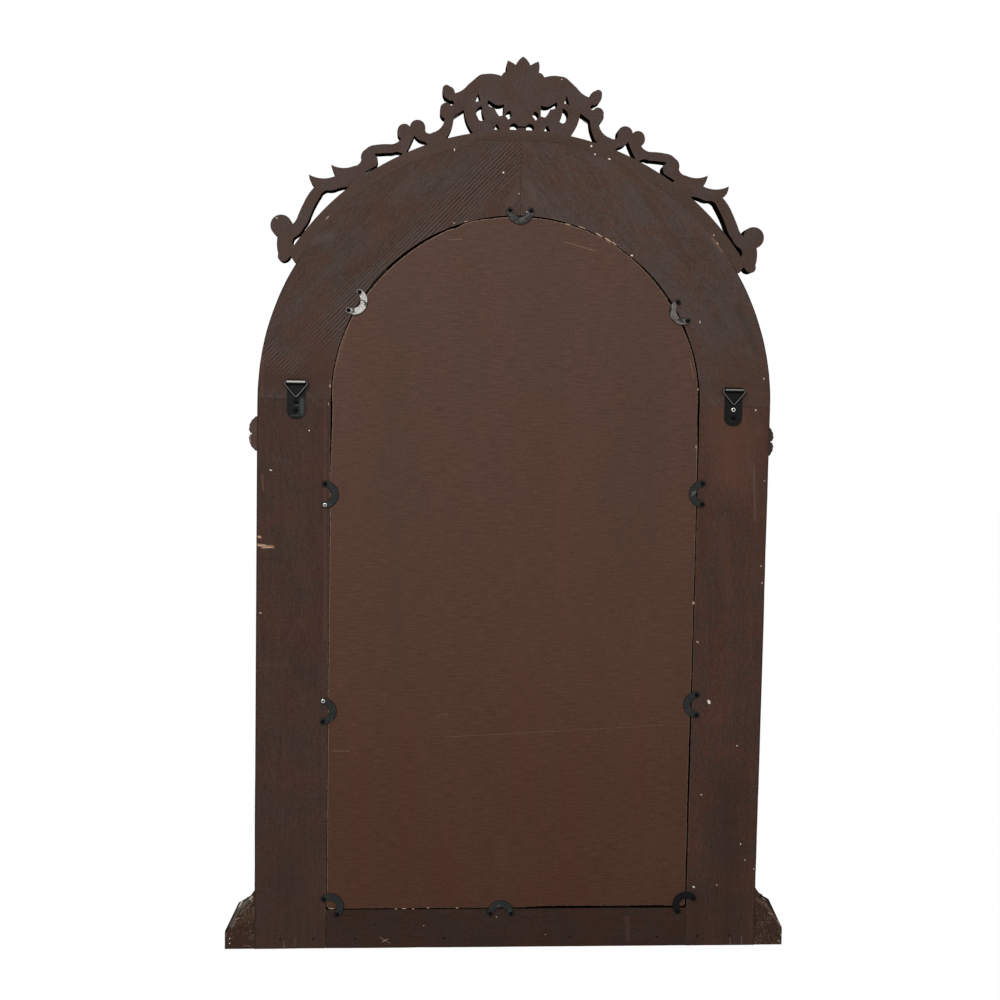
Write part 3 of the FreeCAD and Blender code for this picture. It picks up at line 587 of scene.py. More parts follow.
def carved_hardwood(name, grain, warm, grey, deep, high, dusty=(), dust_depth=0.0, flecked=0.0,
                    seated=False):
    """Deep and high are the Y of the lowest and the highest carving, and dust_depth that of the dust."""
    material, tree, shader = new_finish(name)
    place = add(tree, "ShaderNodeTexCoord", out="Object")
    lay = lay_along(tree, place, grain)
    behind, wall = sides_of(tree)
    blotches, grit = (
        add(tree, "ShaderNodeTexNoise", {}, {"Vector": place, "Scale": 1 / (size * mm), "Detail": detail})
        for size, detail in ((22, 5.0), (2.0, 3.0)))
    figure = streaks(tree, lay, 3.5 * mm, 60 * mm, 3.0, 5.0)
    fibres = streaks(tree, lay, 0.7 * mm, 9 * mm, 2.0, 3.0)
    rough = streaks(tree, lay, 1.6 * mm, 2.4 * mm, 3.0, 9.0)

    back = painted(tree, warm, (stepped(tree, (blotches, 0.36, 0.64)), grey))
    if seated:
        above = round_the_frame(tree, place)[0]
        back = painted(tree, back, (stepped(tree, (above, -14 * mm, -9 * mm)), "#4a3932"))
    light = weighted(tree, 0.22, (fibres, 0.6), (grit, 0.9))
    back = add(tree, "ShaderNodeVectorMath", "SCALE", {0: back, "Scale": light})
    if flecked:
        flecks = weighted(tree, rough, (blotches, 0.8))
        back = painted(tree, back, (stepped(tree, (flecks, 0.91, 1.09, 0.0, flecked)), "#8a705c"))
    if seated:
        on_seat = stepped(tree, (above, -3 * mm, -mm))
        wall = without(tree, wall, on_seat)
        behind = add(tree, "ShaderNodeMath", "MAXIMUM", [behind, on_seat])

    forward = stepped(tree, (lay[2], deep, high))
    rubbed_and_highlit = add(tree, "ShaderNodeMath", "MULTIPLY", [forward, rough])
    rubbed_and_highlit = stepped(tree, (rubbed_and_highlit, 0.35, 0.6, 0.0, 0.7))
    hollow = stepped(tree, (forward, 0.35, 0.0, 0.0, 0.55))
    front = painted(tree, "#2a170f", (figure, "#4c2d1d"), (rubbed_and_highlit, "#6b4630"), (hollow, dark_stain_and_shade))
    # The walls of the openings are laid near-black: dark stain, with painted shade.
    colour = painted(tree, front, (behind, back), (wall, dark_stain_and_shade))
    no_gloss_on(tree, shader, wall)
    colour = with_smears(tree, place, rough, colour, dusty, dust_depth)

    dullness = weighted(tree, stepped(tree, (behind, 0.0, 1.0, 0.34, 0.62)), (rough, 0.2))
    textured(tree, shader, colour, dullness, weighted(tree, fibres, (rough, 0.5)), 0.12 * mm)
    return material


print("carved hardwood is ready for its tones")

# %% [markdown]
# ## Dust on the carving
# Pale dust and knocks sit on the arrises of the feet, and pale marks lie on the lobes of the rosettes.
# Each kind of carving takes its own tones from the photograph.

# %% Carved woods
foot_smears = [
    ((231, 925), (239, 908), 3.2, 0.6, "#665f57"),
    ((239, 908), (252, 897), 3.6, 0.7, "#6d675e"),
    ((232.5, 926), (236, 920), 1.0, 0.6, "#8d857c"),
    ((235, 919), (239.5, 917), 0.8, 0.7, "#948b82"),
    ((240, 914), (244, 909), 1.0, 0.55, "#857a70"),
    ((247, 907), (251, 903), 0.9, 0.5, "#85786d"),
    ((239.2, 907), (241.6, 902), 1.2, 0.9, "#c9beb2"),
    ((250, 898.5), (252.6, 895.4), 1.4, 0.9, "#c4b6a8"),
    ((251.5, 901), (253, 899), 0.9, 0.8, "#a3938a"),
    ((255.8, 892), (256.6, 899), 1.3, 0.85, "#bba99c"),
    ((244, 944), (251, 945), 1.0, 0.6, "#7d6353"),
    ((254, 908), (256, 917), 1.6, 0.5, "#6f5546"),
    ((240, 922), (256, 912), 5.0, 0.35, "#5f452f"),
    ((756, 898), (766, 905), 3.5, 0.6, "#6f5a4d"),
    ((766, 905), (780, 925), 3.2, 0.6, "#705a4d"),
    ((762, 898), (766, 901), 0.8, 0.8, "#a08c7e"),
    ((768, 912), (772, 914), 0.8, 0.8, "#a08c7e"),
    ((777, 920), (780, 925), 0.8, 0.8, "#a08c7e"),
    ((755, 914), (755, 923), 1.2, 0.9, "#1a100a"),
]
rosette_smears = [
    ((249, 419), (249, 428), 1.1, 0.8, "#a39a94"),
    ((250, 434), (250, 445), 1.1, 0.8, "#a39a94"),
]
crest_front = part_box("crest_centre")[0].y
foot_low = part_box("right_foot")[0]
rosette_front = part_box("right_rosette")[0].y
moulding_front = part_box("rail_moulding")[0].y
crest_wood = carved_hardwood(
    "carved_stained_hardwood_crest", upright, "#4a3831", "#4a3d39", -12 * mm, crest_front, seated=True)
foot_wood = carved_hardwood(
    "carved_stained_hardwood_foot", upright, "#3a261c", "#34271f", frame_front, foot_low.y,
    foot_smears, -3.5 * mm, 0.4)
rosette_wood = carved_hardwood(
    "carved_stained_hardwood_rosette", upright, "#58433c", "#544742", frame_front, rosette_front,
    rosette_smears, frame_front, 0.2)
moulding_wood = carved_hardwood(
    "polished_stained_hardwood_moulding", level, "#3b2b25", "#4a372f", frame_front, moulding_front)
print("carved woods", len((crest_wood, foot_wood, rosette_wood, moulding_wood)))

# %% [markdown]
# ## Hardboard
# The backing board is brown hardboard: fine wood fibre pressed flat, so it has no grain, only a faint
# sideways drag of the fibre and broad upright bands where the stain roller overlapped, some reddish
# and some greyer.

# %% Hardboard
board_top = spring_level + rebate_half
board_shade_rise = 300 * mm
board_smears = [
    ((566, 455), (561, 640), 13.0, 0.3, "#5c3c2f"),
    ((649, 390), (651, 540), 11.0, 0.35, "#45382d"),
    ((392, 380), (396, 700), 11.0, 0.3, "#48382d"),
    ((600, 560), (602, 760), 8.0, 0.25, "#48382c"),
    ((430, 640), (424, 760), 10.0, 0.25, "#533729"),
    ((445, 737), (560, 731), 0.35, 0.7, "#7d6a5c"),
    ((560, 731), (662, 725), 0.35, 0.5, "#7d6a5c"),
    ((333, 751), (349, 751), 0.5, 0.7, "#8a7464"),
    ((437, 716), (448, 714), 0.45, 0.6, "#84705f"),
    ((449, 240), (462, 239), 0.7, 0.6, "#8f7058"),
    ((460, 216.5), (500, 214), 0.5, 0.6, "#8f7058"),
    ((565, 242), (596, 251), 0.8, 0.55, "#8f7058"),
    ((697, 446), (696, 520), 1.0, 0.6, "#987a66"),
    ((696, 520), (694, 660), 1.1, 0.75, "#a08470"),
    ((694, 660), (691, 780), 0.9, 0.5, "#8d7161"),
    ((699, 330), (701, 385), 1.0, 0.5, "#8d6f5c"),
    ((327, 753), (327, 800), 0.8, 0.55, "#8d7161"),
    ((352, 316), (334, 372), 0.8, 0.45, "#8d6f5c"),
    ((332, 378), (332, 400), 1.4, 0.7, "#8f6f58"),
    ((690, 360), (694, 378), 0.5, 0.6, "#9c7a60"),
]


def hardboard(name):
    material, tree, shader = new_finish(name, Specular_IOR_Level=wood_gloss)
    place = add(tree, "ShaderNodeTexCoord", out="Object")
    upright_lay = lay_along(tree, place, upright)
    level_lay = lay_along(tree, place, level)
    height = add(tree, "ShaderNodeSeparateXYZ", {}, [place], "Z")
    bands = streaks(tree, upright_lay, 48 * mm, 420 * mm, 2.0, 4.0)
    clouds = add(tree, "ShaderNodeTexNoise", {}, {"Vector": place, "Scale": 1 / (90 * mm), "Detail": 3.0})
    drag = streaks(tree, level_lay, 1.5 * mm, 14 * mm, 3.0, 6.0)
    fibres = streaks(tree, level_lay, 0.6 * mm, 3.2 * mm, 2.0, 13.0)
    rough = streaks(tree, level_lay, 1.2 * mm, 2.5 * mm, 3.0, 17.0)

    # Painted shade: towards its bottom the board is laid darker and redder, and over its lowest 300 mm its
    # lightness falls, as less light reaches it there.
    shaded_towards_bottom = stepped(tree, (height, board_top, rebate_bottom))
    greyer = stepped(tree, (bands, 0.3, 0.7, 0.0, 0.3))
    redder = stepped(tree, (clouds, 0.4, 0.7, 0.0, 0.35))
    colour = painted(tree, "#533d34", (shaded_towards_bottom, "#513326"), (greyer, "#4a392e"), (redder, "#553a2d"))
    light = stepped(tree, (height, rebate_bottom, rebate_bottom + board_shade_rise, 0.04, 0.165))
    light = weighted(tree, light, (drag, 0.8), (fibres, 0.9))
    colour = add(tree, "ShaderNodeVectorMath", "SCALE", {0: colour, "Scale": light})
    cut = stepped(tree, (facing_of(tree), 0.9, 0.8), (rough, 0.36, 0.52))
    colour = painted(tree, colour, (cut, "#8a7464"))
    colour = with_smears(tree, place, rough, colour, board_smears)
    dullness = weighted(tree, 0.6, (rough, 0.15))
    textured(tree, shader, colour, dullness, weighted(tree, drag, (fibres, 1.0)), 0.05 * mm)
    return material


board_finish = hardboard("brown_stained_hardboard")
print("marks on the board", len(board_smears))

# %% [markdown]
# ## Metals
# The clips and straps are thin steel, blackened and rubbed; three of the clips near the top have lost
# their black and show grey or bare, spotted steel, and one at a lower corner is sootier than the
# rest. The wire rings are black with a hard gloss, and the newer screws are zinc plated. A worn metal
# is two metals: the covering and what lies below it, and a mask of noise says which one shows. The
# stamped edges and the cross of a screw are laid near-black as painted shade. The crown of a round
# of wire or a rolled barrel, where it looks back, is laid bright and bare as a painted highlight.

# %% Metals
def worn_steel(name, covering, bare, bare_share, dulls, gloss=0.15, spots=0.15, painted_crown_highlight=None, smears=(),
               depth=0.0):
    """Dulls are two roughnesses, covered and bare; the crown highlight is a tone, a Y and two values of the
    normal.
    """
    material, tree, shader = new_finish(name, Specular_IOR_Level=gloss)
    place = add(tree, "ShaderNodeTexCoord", out="Object")
    facing = facing_of(tree)
    patches, specks = (
        add(tree, "ShaderNodeTexNoise", {}, {"Vector": place, "Scale": 1 / (size * mm), "Detail": 3.0})
        for size in (6, 1.3))
    wear = weighted(tree, patches, (specks, 0.25))
    worn = stepped(tree, (wear, 0.94 - 0.7 * bare_share, 1.06 - 0.7 * bare_share))
    hollow = add(tree, "ShaderNodeAttribute", {"attribute_name": "hollow"}, out="Fac")
    # Painted shade: the stamped edges and the cross of a screw are laid near-black.
    stamped = stepped(tree, (facing, 0.85, 0.7))
    dark = add(tree, "ShaderNodeMath", "MAXIMUM", [hollow, stamped])
    worn = without(tree, worn, dark)
    spotted = stepped(tree, (specks, 0.35, 0.65, 1.0 - spots, 1.0 + spots))
    colour = painted(tree, covering, (worn, bare))
    colour = add(tree, "ShaderNodeVectorMath", "SCALE", {0: colour, "Scale": spotted})
    colour = painted(tree, colour, (dark, "#0c0b0a"))
    colour = with_smears(tree, place, specks, colour, smears, depth)
    # Painted highlight: where the crown of a wire or barrel looks back, it is laid bright and made bare
    # metal.
    if painted_crown_highlight:
        bright, lowest, first, full = painted_crown_highlight
        level_here = add(tree, "ShaderNodeSeparateXYZ", {}, [place], "Y")
        rubbed_and_highlit = stepped(tree, (facing, first, full), (level_here, lowest - 0.2 * mm, lowest))
        colour = painted(tree, colour, (rubbed_and_highlit, bright))
        worn = add(tree, "ShaderNodeMath", "MAXIMUM", [worn, rubbed_and_highlit])
    tree.links.new(worn, shader.inputs["Metallic"])
    dullness = weighted(tree, stepped(tree, (worn, 0.0, 1.0, *dulls)), (specks, 0.12))
    textured(tree, shader, colour, dullness, specks, 0.03 * mm)
    return material


print("worn steel is ready for its tones")

# %% [markdown]
# ## The steels of this mirror
# Clips, straps, rings and screws differ in how black and how bright they are, so each kind has its
# own steel. Spots of lost black and of soot are smears on the plates; two thin smears beside a screw
# of one strap are painted highlights.

# %% Steels
plate_depth = 1.2 * mm
barrel_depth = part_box("right_strap")[1].y - 0.9 * mm
right_strap_smears_and_highlights = [
    ((302, 400), (302, 412), 4.6, 0.85, "#434845"),
    ((291, 415.5), (303, 415.5), 1.5, 0.5, "#434845"),
    # Painted highlights: the two thin smears round the screw.
    ((295, 404.8), (299, 405.2), 0.6, 0.8, "#77776f"),
    ((295, 413.4), (299, 413.2), 0.5, 0.6, "#64665f"),
]
left_strap_smears = [
    ((730, 420), (733, 421), 2.4, 0.4, "#33373a"),
]
upper_right_clip_smears = [
    ((346, 308.5), (349, 311), 7.0, 0.9, "#5c5856"),
    ((357, 290), (359, 293), 7.0, 0.9, "#5c5856"),
    ((358, 307), (361, 303), 1.5, 0.7, "#77716c"),
    ((362, 294), (365, 299), 1.3, 0.5, "#8a847e"),
]
upper_left_clip_smears = [
    ((677, 301), (679, 303), 6.0, 0.9, "#151211"),
    ((687, 321), (690, 321), 6.0, 0.9, "#151211"),
]
black_clip_steel = worn_steel(
    "blackened_sheet_steel", "#262827", "#505254", 0.3, (0.42, 0.38), 0.12, 0.25)
grey_clip_steel = worn_steel(
    "rubbed_sheet_steel", "#322f2e", "#4b4a49", 0.5, (0.45, 0.4), 0.15, 0.1)
spotted_clip_steel = worn_steel(
    "spotted_sheet_steel", "#2b2825", "#67625e", 0.6, (0.4, 0.35), 0.15, 0.35, None, upper_left_clip_smears,
    plate_depth)
sooty_clip_steel = worn_steel(
    "sooty_sheet_steel", "#0f0e0e", "#2f2d2c", 0.15, (0.45, 0.4), 0.08, 0.25)
bare_clip_steel = worn_steel(
    "bare_sheet_steel", "#4a4642", "#b2ada8", 0.62, (0.4, 0.3), 0.2, 0.3, None, upper_right_clip_smears,
    plate_depth)
# The tuple of a tone, a depth and two normals is a painted highlight along the crown of each rolled barrel.
strap_steels = {
    "right": worn_steel("black_strap_steel", "#131413", "#3a3a36", 0.08, (0.45, 0.4), 0.1, 0.15,
                        ("#9a958f", barrel_depth, 0.9, 0.97), right_strap_smears_and_highlights, plate_depth),
    "left": worn_steel("blacker_strap_steel", "#101112", "#3a3a36", 0.06, (0.45, 0.4), 0.1, 0.15,
                       ("#85817c", barrel_depth, 0.96, 0.99), left_strap_smears, plate_depth),
}
# The last value is a painted highlight along the crown of the wire.
wire_steel = worn_steel("black_steel_wire", "#070606", "#2a2826", 0.05, (0.3, 0.3), 0.06, 0.15,
                        ("#6e6a67", 0.0, 0.92, 0.99))
screw_steel = worn_steel("black_screw_steel", "#060505", "#2c2a28", 0.08, (0.4, 0.35), 0.06)
zinc_steel = worn_steel("zinc_plated_steel", "#8f8a84", "#dcd8d0", 0.8, (0.35, 0.25), 0.4)
print("materials", len(bpy.data.materials))

# %% [markdown]
# ## Glass and the plain woods inside
# Silvered plate glass is a mirror with a faint green cast and almost no roughness. The dowels, pins
# and glass blocks are plain beech and softwood; they lie inside the joints, but they are finished
# too. The side of the glass blocks that looks back is laid near-black, as painted shade in the gap
# round the board.

# %% Glass, beech, softwood, flakes and glue


def silvered_glass(name):
    material, tree, shader = new_finish(name, Specular_IOR_Level=0.1)
    place = add(tree, "ShaderNodeTexCoord", out="Object")
    haze = add(tree, "ShaderNodeTexNoise", {}, {"Vector": place, "Scale": 1 / (60 * mm), "Detail": 3.0})
    behind, _ = sides_of(tree)
    tree.links.new(weighted(tree, 1.0, (behind, -1.0)), shader.inputs["Metallic"])
    dullness = weighted(tree, stepped(tree, (haze, 0.4, 0.8, 0.012, 0.03)), (behind, 0.8))
    tree.links.new(dullness, shader.inputs["Roughness"])
    colour = painted(tree, "#eef3f1", (haze, "#e6ece9"), (behind, "#2a2220"))
    tree.links.new(colour, shader.inputs["Base Color"])
    return material


def plain_wood(name, dark, pale, grain, painted_gap_shade=0.0):
    """The last value is how much of the side that looks back is laid near-black, as painted shade in the
    gap round the board.
    """
    material, tree, shader = new_finish(name, Specular_IOR_Level=0.3)
    place = add(tree, "ShaderNodeTexCoord", out="Object")
    lay = lay_along(tree, place, grain)
    figure = streaks(tree, lay, 1.2 * mm, 25 * mm, 3.0)
    colour = painted(tree, dark, (figure, pale))
    # Painted shade: the side that looks back is laid near-black, so the gap round the board reads dark.
    if painted_gap_shade:
        gap_shaded = add(tree, "ShaderNodeMath", "MULTIPLY", [sides_of(tree)[0], painted_gap_shade])
        colour = painted(tree, colour, (gap_shaded, "#1e1611"))
    dullness = stepped(tree, (figure, 0.0, 1.0, 0.5, 0.7))
    textured(tree, shader, colour, dullness, figure, 0.1 * mm)
    return material


mirror_finish = silvered_glass("silvered_plate_glass")
beech = plain_wood("plain_beech", "#b48a5a", "#d0ab7c", upright)
# The glass blocks take painted shade on their backs, seen down the gap round the board.
softwood = plain_wood("plain_softwood", "#a98454", "#cfae7d", level, 0.95)
bare_wood = plain_wood("bare_torn_wood", "#957663", "#c4a48f", upright)
dried_glue = plain_wood("dried_glue", "#c9bcae", "#eae2d8", level)
print("materials", len(bpy.data.materials))

# %% [markdown]
# ## Rounding and nicking the timber
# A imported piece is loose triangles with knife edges. Its copy is welded, its flat faces are made
# whole again, and its long edges are cut into short lengths, pushed in a little by noise and
# bevelled. So the outline of the frame wavers by a few tenths of a millimetre, as sawn and sanded
# timber does, and each joint shows as a fine groove. Only edges across the back plane move, so the
# faces stay flat.

# %% Welded copies
sharp_angle = math.radians(28)
weld_distance = 0.002 * mm


def welded(node):
    """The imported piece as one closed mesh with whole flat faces."""
    mesh = bmesh.new()
    mesh.from_mesh(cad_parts[node].data)
    bmesh.ops.remove_doubles(mesh, verts=mesh.verts, dist=weld_distance)
    bmesh.ops.dissolve_limit(
        mesh, angle_limit=math.radians(0.1), verts=mesh.verts, edges=mesh.edges, delimit={"NORMAL"})
    return mesh


def sharp_edges(mesh, shortest):
    return [edge for edge in mesh.edges if len(edge.link_faces) == 2 and edge.calc_length() >= shortest
            and abs(edge.calc_face_angle(0.0)) > sharp_angle]


def finished(mesh, name, material, nodes, body="frame"):
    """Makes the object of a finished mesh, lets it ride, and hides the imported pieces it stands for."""
    data = bpy.data.meshes.new(name)
    mesh.to_mesh(data)
    mesh.free()
    return shown(data, name, material, nodes, body)


def shown(data, name, material, nodes, body="frame"):
    data.polygons.foreach_set("use_smooth", [True] * len(data.polygons))
    data.set_sharp_from_angle(angle=sharp_angle)
    if material:
        data.materials.clear()
        data.materials.append(material)
    piece = bpy.data.objects.new(name, data)
    scene.collection.objects.link(piece)
    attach(piece, body)
    if nodes:
        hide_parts(*nodes)
    return piece


def softened(node, name, material, arris, shortest, nick=0.0, spacing=7 * mm, clamp=True):
    """A welded copy whose long sharp edges are cut back by arris and nicked by up to nick."""
    mesh = welded(node)
    if nick:
        for edge in sharp_edges(mesh, shortest):
            cuts = int(edge.calc_length() / spacing)
            if cuts:
                bmesh.ops.subdivide_edges(mesh, edges=[edge], cuts=cuts)
        for corner in {v for edge in sharp_edges(mesh, spacing / 2) for v in edge.verts}:
            push = noise.noise(corner.co * (1 / (14 * mm))) * nick
            push += noise.noise(corner.co * (1 / (60 * mm))) * nick
            normal = corner.normal.copy()
            normal.y = 0.0
            corner.co += normal * push
        shortest = spacing / 3
    edges = sharp_edges(mesh, shortest)
    bmesh.ops.bevel(mesh, geom=edges, offset=arris, offset_type="OFFSET", segments=1, affect="EDGES",
                    clamp_overlap=clamp)
    return finished(mesh, name, material, [node])


print("edges are sharp from", round(math.degrees(sharp_angle)), "degrees")

# %% [markdown]
# ## The five timbers
# The arris is the width that sandpaper takes off an edge, and the nick is how far the saw wandered.

# %% Timbers
timber_arris = 0.35 * mm
timber_nick = 0.3 * mm
shortest_timber_edge = 12 * mm
timbers = ("left_stile", "left_arch", "right_stile", "right_arch", "bottom_rail")
for node in timbers:
    softened(node, f"dressed_{node}", timber_woods[node], timber_arris,
             shortest_timber_edge, timber_nick)
print("frame timbers dressed", len(timbers))

# %% [markdown]
# ## The backing board
# The board was cut by hand and lies in the rebate with a gap that is never the same: a hairline down
# most of the two sides, and a dark slot where it misses the curve. A list gives the gap at places
# round the edge, as the bearing from the middle of the board and a width in millimetres, and noise
# adds the tremor of the saw.

# %% Backing board
board_middle = Vector((0.0, 0.0, (spring_level + rebate_half + rebate_bottom) / 2))
gap_stops = [
    (-152, 0.8), (-142, 0.5), (-120, 0.4), (-62, 0.4), (-56, 1.3), (-49, 2.0), (-46, 1.0),
    (-38, 0.8), (-31, 1.4), (-28, 2.5), (-20, 2.8), (-14, 2.2), (-12, 1.5), (-10.5, 2.8),
    (-9.5, 1.1), (-8, 0.6), (-5, 1.5), (1, 1.7), (8, 1.2), (15, 0.8), (22, 1.4), (27, 2.2),
    (34, 2.4), (38, 1.2), (43, 1.5), (50, 2.4), (56, 1.2), (66, 1.0), (90, 0.8), (120, 1.1),
    (138, 1.8), (150, 1.6), (152.5, 1.4), (156, 2.3), (174, 2.3), (177, 1.2), (180, 0.9),
    (195, 0.9), (208, 0.8),
]
gap_tremor = 0.22 * mm
board_arris = 0.6 * mm


def gap_at(place):
    """The gap beside a place on the board's edge; bearings run clockwise as the photograph shows it."""
    across, up = -(place.x - board_middle.x), place.z - board_middle.z
    first_bearing = gap_stops[0][0]
    bearing = (math.degrees(math.atan2(across, up)) - first_bearing) % 360 + first_bearing
    width = numpy.interp(bearing, [stop[0] for stop in gap_stops], [stop[1] for stop in gap_stops])
    return width * mm + gap_tremor * noise.noise(place * (1 / (5 * mm)))


def board_outline():
    """Places round the rebate, stepped in from it by the gap."""
    step = 3 * mm
    places = []
    turns = int(math.pi * rebate_half / step)
    for i in range(turns + 1):
        angle = math.pi * i / turns
        outward = Vector((math.cos(angle), 0.0, math.sin(angle)))
        edge = Vector((0.0, 0.0, spring_level)) + outward * rebate_half
        places.append(edge - outward * gap_at(edge))
    drop = spring_level - rebate_bottom
    rows = int(drop / step)
    for i in range(1, rows):
        edge = Vector((-rebate_half, 0.0, spring_level - drop * i / rows))
        places.append(edge + Vector((gap_at(edge), 0.0, 0.0)))
    columns = int(2 * rebate_half / step)
    for i in range(1, columns):
        edge = Vector((-rebate_half + 2 * rebate_half * i / columns, 0.0, rebate_bottom))
        places.append(edge + Vector((0.0, 0.0, gap_at(edge))))
    for i in range(rows - 1, 0, -1):
        edge = Vector((rebate_half, 0.0, spring_level - drop * i / rows))
        places.append(edge - Vector((gap_at(edge), 0.0, 0.0)))
    return places


def backing_board():
    mesh = bmesh.new()
    outline = board_outline()
    behind = [mesh.verts.new(place) for place in outline]
    ahead = [mesh.verts.new(place - Vector((0.0, board_depth, 0.0))) for place in outline]
    mesh.faces.new(behind)
    mesh.faces.new(list(reversed(ahead)))
    for i in range(len(outline)):
        mesh.faces.new((behind[i], behind[i - 1], ahead[i - 1], ahead[i]))
    bmesh.ops.recalc_face_normals(mesh, faces=mesh.faces)
    rim = [edge for edge in mesh.edges if all(v.co.y > -mm for v in edge.verts)]
    bmesh.ops.bevel(mesh, geom=rim, offset=board_arris, offset_type="OFFSET", segments=1, affect="EDGES")
    print("board outline points", len(outline))
    return finished(mesh, "hardboard_back", board_finish, ["backing_board"])


backing_board()

# %% [markdown]
# ## Carving in relief
# The crest and the leaves of the feet are flat behind and carved in front. A carver works inward from
# the outline: the edge is left low, the form rises from it in a round, a channel follows the edge,
# and flutes and veins are cut into the broad places. So the relief is a function of how far a point
# lies from the nearest edge. The flat front of the welded copy is taken off, its rim is lowered, the
# inside is filled with a fine net of triangles, and each point of the net is lifted by the relief.

# %% Relief carving
net_step = 1.5 * mm
back_arris = 0.7 * mm


def edge_distances(points, segments):
    """The distance of each point to the nearest segment, and whether it lies inside the outline."""
    points = numpy.array(points)
    first = numpy.array([s[0] for s in segments])
    second = numpy.array([s[1] for s in segments])
    nearest = numpy.full(len(points), 1e9)
    inside = numpy.zeros(len(points), bool)
    for a, b in zip(first, second):
        line = b - a
        gone = points - a
        share = numpy.clip(gone @ line / (line @ line), 0.0, 1.0)
        nearest = numpy.minimum(nearest, numpy.hypot(*(gone - share[:, None] * line).T))
        crosses = (a[1] > points[:, 1]) != (b[1] > points[:, 1])
        if a[1] != b[1]:
            at = a[0] + (points[:, 1] - a[1]) / (b[1] - a[1]) * line[0]
            inside ^= crosses & (points[:, 0] < at)
    return nearest, inside


print("net step in mm", round(net_step / mm, 2))

# %% [markdown]
# ## From a flat front to a carved one
# The rim of the front keeps its outline, the inside gets rows of points a step apart, and a
# triangulation joins them. Triangles outside the outline or in an opening are left out.

# %% Carving


def carved(node, name, material, rim_level, relief, seat=None):
    """A welded copy with a carved front: relief is its height over the rim, seat where it is joined."""
    mesh = welded(node)
    back_rim = [edge for edge in sharp_edges(mesh, 0.3 * mm)
                if all(v.co.y > -0.05 * mm for v in edge.verts)
                and not (seat and all(seat(v.co) for v in edge.verts))]
    bmesh.ops.bevel(mesh, geom=back_rim, offset=back_arris, offset_type="OFFSET", segments=1,
                    affect="EDGES", clamp_overlap=True)
    front = min(v.co.y for v in mesh.verts)
    flat = [face for face in mesh.faces if all(v.co.y < front + 0.01 * mm for v in face.verts)]
    bmesh.ops.delete(mesh, geom=flat, context="FACES_KEEP_BOUNDARY")
    for edge in [e for e in mesh.edges if e.is_boundary]:
        cuts = int(edge.calc_length() / net_step)
        if cuts:
            bmesh.ops.subdivide_edges(mesh, edges=[edge], cuts=cuts)
    rim = [edge for edge in mesh.edges if edge.is_boundary]
    mesh.verts.index_update()
    corners = list({v for edge in rim for v in edge.verts})
    corners.sort(key=lambda v: v.index)
    number = {v: i for i, v in enumerate(corners)}
    for v in corners:
        v.co.y = rim_level(v.co)
    flat_places = [(v.co.x, v.co.z) for v in corners]
    pairs = [(number[edge.verts[0]], number[edge.verts[1]]) for edge in rim]
    segments = [(flat_places[a], flat_places[b]) for a, b in pairs]

    low = numpy.min(flat_places, axis=0)
    high = numpy.max(flat_places, axis=0)
    row_step = net_step * math.sqrt(0.75)
    grid = [(low[0] + (column + 0.5 * (row % 2)) * net_step, low[1] + row * row_step)
            for row in range(int((high[1] - low[1]) / row_step) + 1)
            for column in range(int((high[0] - low[0]) / net_step) + 1)]
    away, inside = edge_distances(grid, segments)
    kept = [(place, d) for place, d, within in zip(grid, away, inside) if within and d > 0.5 * net_step]
    inner = [mesh.verts.new((place[0], rim_level(Vector((place[0], 0.0, place[1])))
                             - relief(place[0], place[1], d), place[1])) for place, d in kept]
    everything = corners + inner
    _, _, faces, origins, _, _ = delaunay_2d_cdt(
        [Vector((v.co.x, v.co.z)) for v in everything], pairs, [], 0, 1e-7)
    chosen = [[everything[origins[i][0]] for i in face if origins[i]] for face in faces]
    middles = [(sum(v.co.x for v in three) / 3, sum(v.co.z for v in three) / 3) for three in chosen]
    _, within = edge_distances(middles, segments)
    for three, kept_face in zip(chosen, within):
        if kept_face and len(set(three)) == 3:
            mesh.faces.new(three)
    bmesh.ops.recalc_face_normals(mesh, faces=mesh.faces)
    open_edges = sum(not edge.is_manifold for edge in mesh.edges)
    print(name, "faces", len(mesh.faces), "open edges", open_edges)
    return finished(mesh, name, material, [node])


# %% [markdown]
# ## The crest
# A fan shell fills the middle of the crest, with flutes that spread from its foot; the scrolls on
# each side are round in section with a raised bead along the edge, and the leaves of the wings have
# slanting veins. Near the arch the rim stays deep, where the crest is doweled to the frame.

# %% Crest
crest_depth = -crest_front
crest_rim_depth = 18.5 * mm
crest_seat_depth = 19 * mm
crest_round = 8 * mm
crest_channel = (3.0 * mm, 0.9 * mm, 1.3 * mm)
shell_foot = Vector((0.0, 0.0, spring_level + frame_half + 4 * mm))
shell_half = 42 * mm
shell_flutes = 11
flute_depth = 1.6 * mm
flute_run = 30 * mm
vein_spacing = 6 * mm
vein_depth = 0.9 * mm


def crest_rim(place):
    above = math.hypot(place.x, place.z - spring_level) - frame_half
    share = min(max((above - mm) / (7 * mm), 0.0), 1.0)
    return -(crest_seat_depth + (crest_rim_depth - crest_seat_depth) * share)


def crest_bearing(place):
    return math.atan2(abs(place.x), place.z - spring_level)


wing_places = [v.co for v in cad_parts["right_crest_wing"].data.vertices]
wing_start = min(wing_places, key=lambda place: place.x)
wing_bearing = crest_bearing(wing_start)


def on_crest_seat(place):
    """Whether a point lies where the crest meets the arch, or where its middle meets a wing."""
    on_arch = math.hypot(place.x, place.z - spring_level) < frame_half + 1.2 * mm
    return on_arch or abs(crest_bearing(place) - wing_bearing) < math.radians(0.15)


def rounded(distance, radius):
    """A quarter round that rises from the edge to its full height at the given distance."""
    share = min(distance / radius, 1.0)
    return math.sqrt(1 - (1 - share) ** 2)


